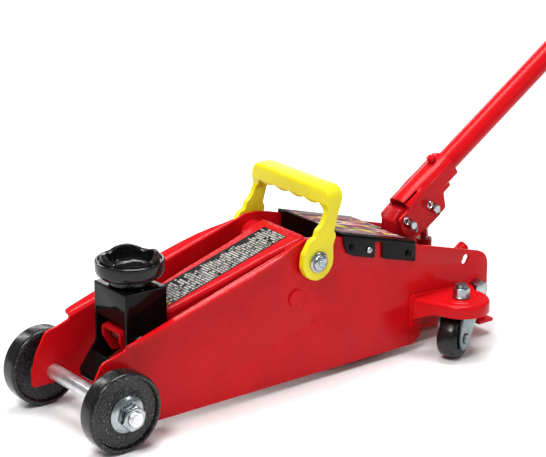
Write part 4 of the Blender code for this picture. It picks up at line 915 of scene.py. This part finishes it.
def handle_socket():
    """A pressed tube that opens into two ears round the fulcrum block."""
    rings = ((7.0, 0.6), (7.6, 0.0), (67.6, 0.0), (68.6, 0.5), (69.0, 1.2))
    socket = surface("handle_socket", lofted([socket_section(d, shrink) for d, shrink in rings]))
    ears = rounded(EAR_OUTLINE, EAR_CORNERS)
    for side in (NEAR, FAR):
        joined(socket, side_prism(ears, side * 10.45, side * 13.35))
    tab = [along_handle(*corner) for corner in ((46, -12), (60, -12), (60, -18.5), (50, -18.5))]
    joined(socket, side_prism(rounded(tab, [0, 0, 3, 3]), -5.0, 3.0))
    for side in (NEAR, FAR):
        joined(socket, lofted(seam_sections(side)))
    throat = [along_handle(*corner) for corner in ((-33, 10.9), (24, 10.9), (24, -40), (-33, -40))]
    cut(socket, side_prism(throat, -10.4, 10.4))
    cut(socket, rod(middle(HANDLE_START), handle_direction(), 10.4, 19.0, 77.0, 56))
    bolt = along_handle(LOCK_BOLT_AT)
    cut(socket, rod(middle(bolt), across_handle(), 3.6, 5.0, 30.0, 32))
    for at in (FULCRUM, PLUNGER_PIN):
        cut(socket, cross_rod(at, HANDLE_PIN_BORE_RADIUS, 30, 32))
    finished(socket, "red_paint", "handle", ["handle_socket"], round_off=0.5)


TUBE_JOINT, HANDLE_END = 340.0, 626.0
LOCK_BOLT_PROFILE = [
    (0.0, 10.4), (3.2, 10.4), (3.2, 14.0), (4.2, 14.0), (4.5, 14.4), (4.5, 17.2), (3.7, 18.4), (0.0, 18.8),
]


def tube_outside(low, high):
    return [(8.6, low), (9.4, low), (10.0, low + 0.6), (10.0, high - 0.6), (9.4, high), (8.6, high)]


def handle_tubes():
    """The lower tube, the upper one with the plug that goes into it, and the lock bolt."""
    low = TUBE_JOINT + 0.3
    plug = [(7.0, 295.3), (8.2, 295.3), (8.2, low)]
    wall = [(8.6, HANDLE_END), (8.6, 344.3), (7.0, 342.3)]
    for name, profile in (
        ("handle_lower", tube_outside(26.0, TUBE_JOINT)),
        ("handle_upper", plug + tube_outside(low, HANDLE_END)[1:-1] + wall),
    ):
        tube = surface(name, lathe(profile, middle(HANDLE_START), handle_direction(), 64))
        finished(tube, "red_paint", "handle", [name], round_off=0)
    at = middle(along_handle(LOCK_BOLT_AT))
    bolt = surface("handle_lock_bolt", lathe(LOCK_BOLT_PROFILE, at, across_handle(), 6))
    finished(bolt, "red_paint", "handle", ["handle_lock_bolt"], round_off=0.4)


BLOCK_OUTLINE = [
    (325.0, 84.3), (353.0, 84.3), (353.0, 108.0), (347.0, 121.5), (333.0, 121.5), (325.0, 112.0),
]


BLOCK_MIDDLE, BLOCK_REACH = (339.0, 103.0), (14.0, 18.6)
BLOCK_RIM = [(9.0, 2.4), (8.4, 1.2), (7.6, 0.5), (6.4, 0.0)]  # y of a section and how far it is drawn in


def fulcrum_block():
    """The cast block between the socket's ears, with well-rounded edges."""
    outline = rounded(BLOCK_OUTLINE, [3, 3, 8, 7, 7, 5])
    (middle_x, middle_z), (reach_x, reach_z) = BLOCK_MIDDLE, BLOCK_REACH
    sections = []
    for y, inset in [(-y, inset) for y, inset in BLOCK_RIM] + BLOCK_RIM[::-1]:
        shrink_x, shrink_z = 1.0 - inset / reach_x, 1.0 - inset / reach_z
        sections.append([(middle_x + (x - middle_x) * shrink_x, y, middle_z + (z - middle_z) * shrink_z)
                         for x, z in outline])
    block = surface("fulcrum_block", lofted(sections))
    cut(block, cross_rod(FULCRUM, HANDLE_PIN_BORE_RADIUS, 20, 32))
    finished(block, "unit_paint", "frame", ["fulcrum_block"], round_off=0)


PIN_PROFILE = [
    (0.0, -19.5), (3.2, -19.5), (4.0, -18.7), (4.0, 13.8), (5.7, 13.8), (6.0, 14.2), (6.0, 15.8),
    (5.0, 17.0), (0.0, 17.0),
]


def pump_pins():
    """The two headed pins of the pump, each with a hole for its cotter."""
    lean = Vector((cos(radians(-35)), 0, sin(radians(-35))))
    for name, at, body in (("fulcrum_pin", FULCRUM, "frame"), ("plunger_pin", PLUNGER_PIN, "handle")):
        pin = surface(name, lathe(PIN_PROFILE, middle(at), (0, 1, 0), 48))
        cut(pin, rod((at[0], -16.9, at[1]), lean, 1.4, -8, 8, 16))
        finished(pin, "zinc", body, [name], round_off=0)


# ---------------- casters

SHELF_TOP, SHELF_SHEET, LIP_BOTTOM, SHELF_RADIUS = 52.0, 2.8, 40.5, 25.5
LIP_DEEP, LIP_SLOPE_END = 31.0, 332.0
LIP_UNDERSIDE = [(30.0, 31.0), (43.0, 31.0), (66.0, 40.5), (110.0, 40.5), (110.0, 10.0), (30.0, 10.0)]
BRACKET_WALL = [
    (314.5, 24.5), (322.5, 24.5), (323.5, 42.0), (389.0, 42.0), (389.0, 51.0), (330.0, 54.0), (318.0, 55.5),
    (315.0, 53.0),
]
SHELF_RING = [(10.6, 51.7), (11.4, 52.5), (12.2, 52.7), (15.8, 52.7), (16.8, 52.4), (17.6, 51.7)]


def stem_foot(side):
    return CASTER_X, side * CASTER_Y, 0


def shelf_plan(side, inset):
    radius = SHELF_RADIUS - inset
    turns = (radians(-15 + 175 * step / 48) for step in range(49))
    arc = [(CASTER_X + radius * cos(turn), side * (CASTER_Y + radius * sin(turn))) for turn in turns]
    front, back = CASTER_X - 37.0 + inset, CASTER_X + 33.0 - inset
    root = side * (PLATE_OUTER_Y + 0.3)
    return [(back, root), (back, side * 50.0), *arc, (front, root)]


def caster_bracket(side):
    """A pressed shelf: a round rim whose lip deepens towards the plate, and the flange behind it."""
    name = f"caster_bracket_{SIDE_NAMES[side]}"
    shelf = surface(name, plan_prism(shelf_plan(side, 0.0), LIP_DEEP - 8.0, SHELF_TOP))
    bevelled(shelf, 4.6, 9, 60)
    cut(shelf, plan_prism(shelf_plan(side, SHELF_SHEET), LIP_DEEP - 20.0, SHELF_TOP - SHELF_SHEET))
    cut(shelf, extruded([(LIP_SLOPE_END, side * y, z) for y, z in LIP_UNDERSIDE], (-30.0, 0, 0)))
    behind = LIP_SLOPE_END - 1.0
    cut(shelf, side_prism([(behind, 10.0), (400.0, 10.0), (400.0, LIP_BOTTOM), (behind, LIP_BOTTOM)],
                          side * 40.0, side * 110.0))
    root = side * (PLATE_OUTER_Y + 0.3)
    wall = rounded(BRACKET_WALL, [2, 2, 3, 2, 3, 6, 3, 2])
    joined(shelf, side_prism(wall, root + side * 0.05, root + side * SHELF_SHEET))
    joined(shelf, lathe(SHELF_RING + SHELF_RING[:1], stem_foot(side), (0, 0, 1), 72))
    cut(shelf, rod(stem_foot(side), (0, 0, 1), 5.3, 30, 70))
    cut(shelf, rod(middle(TIE_BOLT), (0, side, 0), 13.0, 40, 70))
    finished(shelf, "red_paint", "frame", [name], round_off=0.4)


def caster_frame(side):
    turn = CASTER_TURN if side == NEAR else -CASTER_TURN
    return Matrix.Translation((CASTER_X, side * CASTER_Y, 0.0)) @ Matrix.Rotation(turn, 4, "Z")


def turned(bm, side):
    bmesh.ops.transform(bm, matrix=caster_frame(side), verts=bm.verts)
    return bm


FORK_TOP, FORK_SHEET, FORK_HALF = 48.6, 2.2, 12.2
CASTER_WHEEL_PROFILE = [
    (3.6, 9.0), (12.0, 9.0), (12.6, 8.6), (13.6, 7.7), (14.8, 7.7), (15.8, 8.3), (16.6, 8.4), (17.4, 7.8),
    (18.2, 6.4), (18.8, 4.4), (19.1, 2.2),
]
CASTER_RIVET_PROFILE = [(3.0, 12.5), (5.0, 12.5), (5.0, 13.5), (4.2, 14.3), (2.4, 14.5), (0.0, 14.5)]


def caster(side):
    """A folded fork with its stem, the wheel in it and the rivet that carries the wheel."""
    tag = SIDE_NAMES[side]
    top, radius, trail = FORK_TOP, CASTER_WHEEL_RADIUS, CASTER_TRAIL
    legs = rounded(
        [(-12.0, top), (-12.0, 38.0), (trail - 11.0, radius), (trail - 7.0, radius - 10.0),
         (trail + 7.0, radius - 10.0), (trail + 9.5, radius), (trail + 7.5, 34.0), (14.0, top)],
        [2, 8, 8, 7, 7, 8, 10, 3],
    )
    fork = surface(f"caster_fork_{tag}", turned(side_prism(legs, -FORK_HALF, FORK_HALF), side))
    under = top - FORK_SHEET
    hollow = [(-20.0, 0.0), (60.0, 0.0), (60.0, under), (-20.0, under)]
    cut(fork, turned(side_prism(hollow, -10.0, 10.0), side))
    joined(fork, rod(stem_foot(side), (0, 0, 1), 5.0, top - 1.0, 53.0, 40))
    joined(fork, threaded(stem_foot(side), (0, 0, 1), 5.0, 52.0, 64.5))
    cut(fork, turned(rod((trail, 0, radius), (0, 1, 0), 3.3, -20, 20, 32), side))
    finished(fork, "fork_zinc", f"caster_swivel_{tag}", [f"caster_fork_{tag}"], round_off=0.5)
    half = CASTER_WHEEL_PROFILE
    profile = half + [(radius, 0.0)] + [(r, -y) for r, y in reversed(half)]
    tread = turned(lathe(profile, (trail, 0, radius), (0, 1, 0), 72), side)
    wheel = surface(f"caster_wheel_{tag}", tread)
    finished(wheel, "caster_black", f"caster_wheel_{tag}", [f"caster_wheel_{tag}"], round_off=0)
    end = CASTER_RIVET_PROFILE
    profile = [(r, -y) for r, y in reversed(end)] + end
    rivet = turned(lathe(profile, (trail, 0, radius), (0, 1, 0), 40), side)
    axle = surface(f"caster_axle_{tag}", rivet)
    finished(axle, "fork_zinc", f"caster_swivel_{tag}", [f"caster_axle_{tag}"], round_off=0)


NUT_FOOT, NUT_REACH = SHELF_TOP + 0.3, 6.5 / cos(pi / 6)
NUT_WASHER = [(0.0, 0.0), (7.7, 0.0), (8.0, 0.4), (7.9, 1.1), (7.2, 1.8), (0.0, 1.8)]
NUT_DOME = [
    (0.0, 0.0), (NUT_REACH + 0.2, 0.0), (NUT_REACH + 0.2, 7.6), (NUT_REACH - 1.4, 9.0), (0.0, 9.0),
]


def upright_nut(side):
    """The caster's flanged nut, on its stem above the shelf."""
    name = f"caster_nut_{SIDE_NAMES[side]}"

    def spun(profile, segments):
        raised = [(radius, NUT_FOOT + rise) for radius, rise in profile]
        return lathe(raised, stem_foot(side), (0, 0, 1), segments)

    nut = surface(name, spun(NUT_WASHER, 56))
    outline = circle(CASTER_X, side * CASTER_Y, NUT_REACH, 6, 0.35)
    hexagon = plan_prism(outline, NUT_FOOT + 1.0, NUT_FOOT + 9.0)
    combined(nut, shared(to_object("hexagon", hexagon), spun(NUT_DOME, 48)), "UNION")
    cut(nut, rod(stem_foot(side), (0, 0, 1), 5.3, 40, 80))
    finished(nut, "zinc", f"caster_swivel_{SIDE_NAMES[side]}", [name], round_off=0.2)


TIE_FACE, TIE_RADIUS, TIE_ACROSS = 45.7, 4.0, 14.0


def rear_tie():
    """The bolt across the rear end, with its head on the near side and its nut on the far one."""
    at, along = middle(TIE_BOLT), (0, 1, 0)
    bolt = surface("rear_tie_bolt", rod(at, along, TIE_RADIUS, -TIE_FACE - 1, 52.0, 48))
    joined(bolt, threaded(at, along, TIE_RADIUS, 51.0, 56.0))
    combined(bolt, hex_head(TIE_BOLT, -TIE_FACE - 8.5, -TIE_FACE, TIE_ACROSS, 0.4), "UNION")
    finished(bolt, "zinc", "frame", ["rear_tie_bolt"], round_off=0.2)
    nut = hex_head(TIE_BOLT, TIE_FACE, TIE_FACE + 8.0, TIE_ACROSS, 0.0)
    nut.name = "rear_tie_nut_surface"
    cut(nut, rod(at, along, 4.3, 40, 70))
    finished(nut, "zinc", "frame", ["rear_tie_nut"], round_off=0.2)


# ---------------- what stays as packed


def paint_packed(frame):
    """Gives every node that still shows its material, by the record's slots."""
    slots = {part["node"]: part["material_slot"] for part in frame["record"]["subparts"]}
    for name, node in frame["nodes"].items():
        node.data.materials.clear()
        node.data.materials.append(MATERIALS[slots[name]])
        node.data.shade_smooth()
        node.data.set_sharp_from_angle(angle=SHARP_ANGLE)


# ---------------- stage, light and camera


def look(obj, target):
    direction = Vector(target) - obj.location
    obj.rotation_euler = direction.to_track_quat("-Z", "Y").to_euler()


def add_stage():
    bpy.ops.mesh.primitive_plane_add(size=24.0, location=(0, 0, -0.0002))
    floor = bpy.context.object
    floor.name = "studio_floor"
    shader = Shader("studio_floor_paint")
    tone = shader.spread(shader.noise(1.5, 2.0), 0.3, 0.7, 0.0, 1.0)
    shader.set(Base_Color=shader.blend(tone, (0.90, 0.90, 0.90), (0.87, 0.87, 0.87)), Roughness=0.55)
    floor.data.materials.append(shader.material)


def add_light(name, location, size, power, target=(0.0, 0.0, 0.06)):
    data = bpy.data.lights.new(name, "AREA")
    data.shape = "RECTANGLE"
    data.size, data.size_y = size
    data.energy = power
    light = bpy.data.objects.new(name, data)
    light.location = location
    bpy.context.scene.collection.objects.link(light)
    look(light, target)


def add_lights():
    world = bpy.data.worlds.new("studio")
    world.use_nodes = True
    world.node_tree.nodes["Background"].inputs["Color"].default_value = (1.0, 1.0, 1.0, 1.0)
    world.node_tree.nodes["Background"].inputs["Strength"].default_value = 0.22
    bpy.context.scene.world = world
    add_light("key", (-1.5, -0.6, 2.1), (0.9, 0.7), 42.0)
    add_light("top", (0.1, 0.2, 2.3), (1.3, 1.0), 50.0)
    add_light("side", (1.2, -2.1, 1.5), (0.35, 0.35), 8.0)
    add_light("back", (-0.6, 1.9, 1.4), (0.35, 0.9), 9.0)
    add_light("sheen", (0.80, 1.80, 0.88), (1.3, 0.45), 7.5)


def add_camera():
    data = bpy.data.cameras.new("photo_view")
    data.lens = CAMERA_LENS
    data.sensor_width = SENSOR_WIDTH
    data.sensor_fit = "HORIZONTAL"
    camera = bpy.data.objects.new("photo_view", data)
    azimuth, elevation = CAMERA_AZIMUTH, CAMERA_ELEVATION
    back = Vector((sin(azimuth) * cos(elevation), -cos(azimuth) * cos(elevation), sin(elevation)))
    target = placed(*CAMERA_TARGET)
    camera.location = target + back * CAMERA_DISTANCE * MM
    bpy.context.scene.collection.objects.link(camera)
    turn = (-back).to_track_quat("-Z", "Y")
    camera.rotation_euler = (turn.to_matrix() @ Matrix.Rotation(CAMERA_ROLL, 3, "Z")).to_euler()
    bpy.context.scene.camera = camera


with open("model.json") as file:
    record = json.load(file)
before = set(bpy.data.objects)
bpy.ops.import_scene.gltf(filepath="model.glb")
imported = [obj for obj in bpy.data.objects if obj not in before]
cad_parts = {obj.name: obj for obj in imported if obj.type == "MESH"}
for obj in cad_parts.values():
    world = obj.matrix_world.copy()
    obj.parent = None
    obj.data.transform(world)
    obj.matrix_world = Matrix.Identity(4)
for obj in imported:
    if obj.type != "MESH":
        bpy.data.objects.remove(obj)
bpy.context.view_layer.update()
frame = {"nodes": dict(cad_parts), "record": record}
bpy.context.scene.view_settings.view_transform = "Standard"
MATERIALS = make_materials()
paint_packed(frame)
front_axle()
for side in (NEAR, FAR):
    front_wheel(side)
    front_hardware(side)
    side_plate(side)
    carry_bolt(side)
    cover_fasteners(side)
    caster_bracket(side)
    caster(side)
    upright_nut(side)
lift_arm()
arm_label()
saddle_bracket()
saddle()
tip_pins()
carry_handle()
top_cover()
handle_socket()
handle_tubes()
pump_pins()
fulcrum_block()
rear_tie()
add_stage()
add_lights()
add_camera()
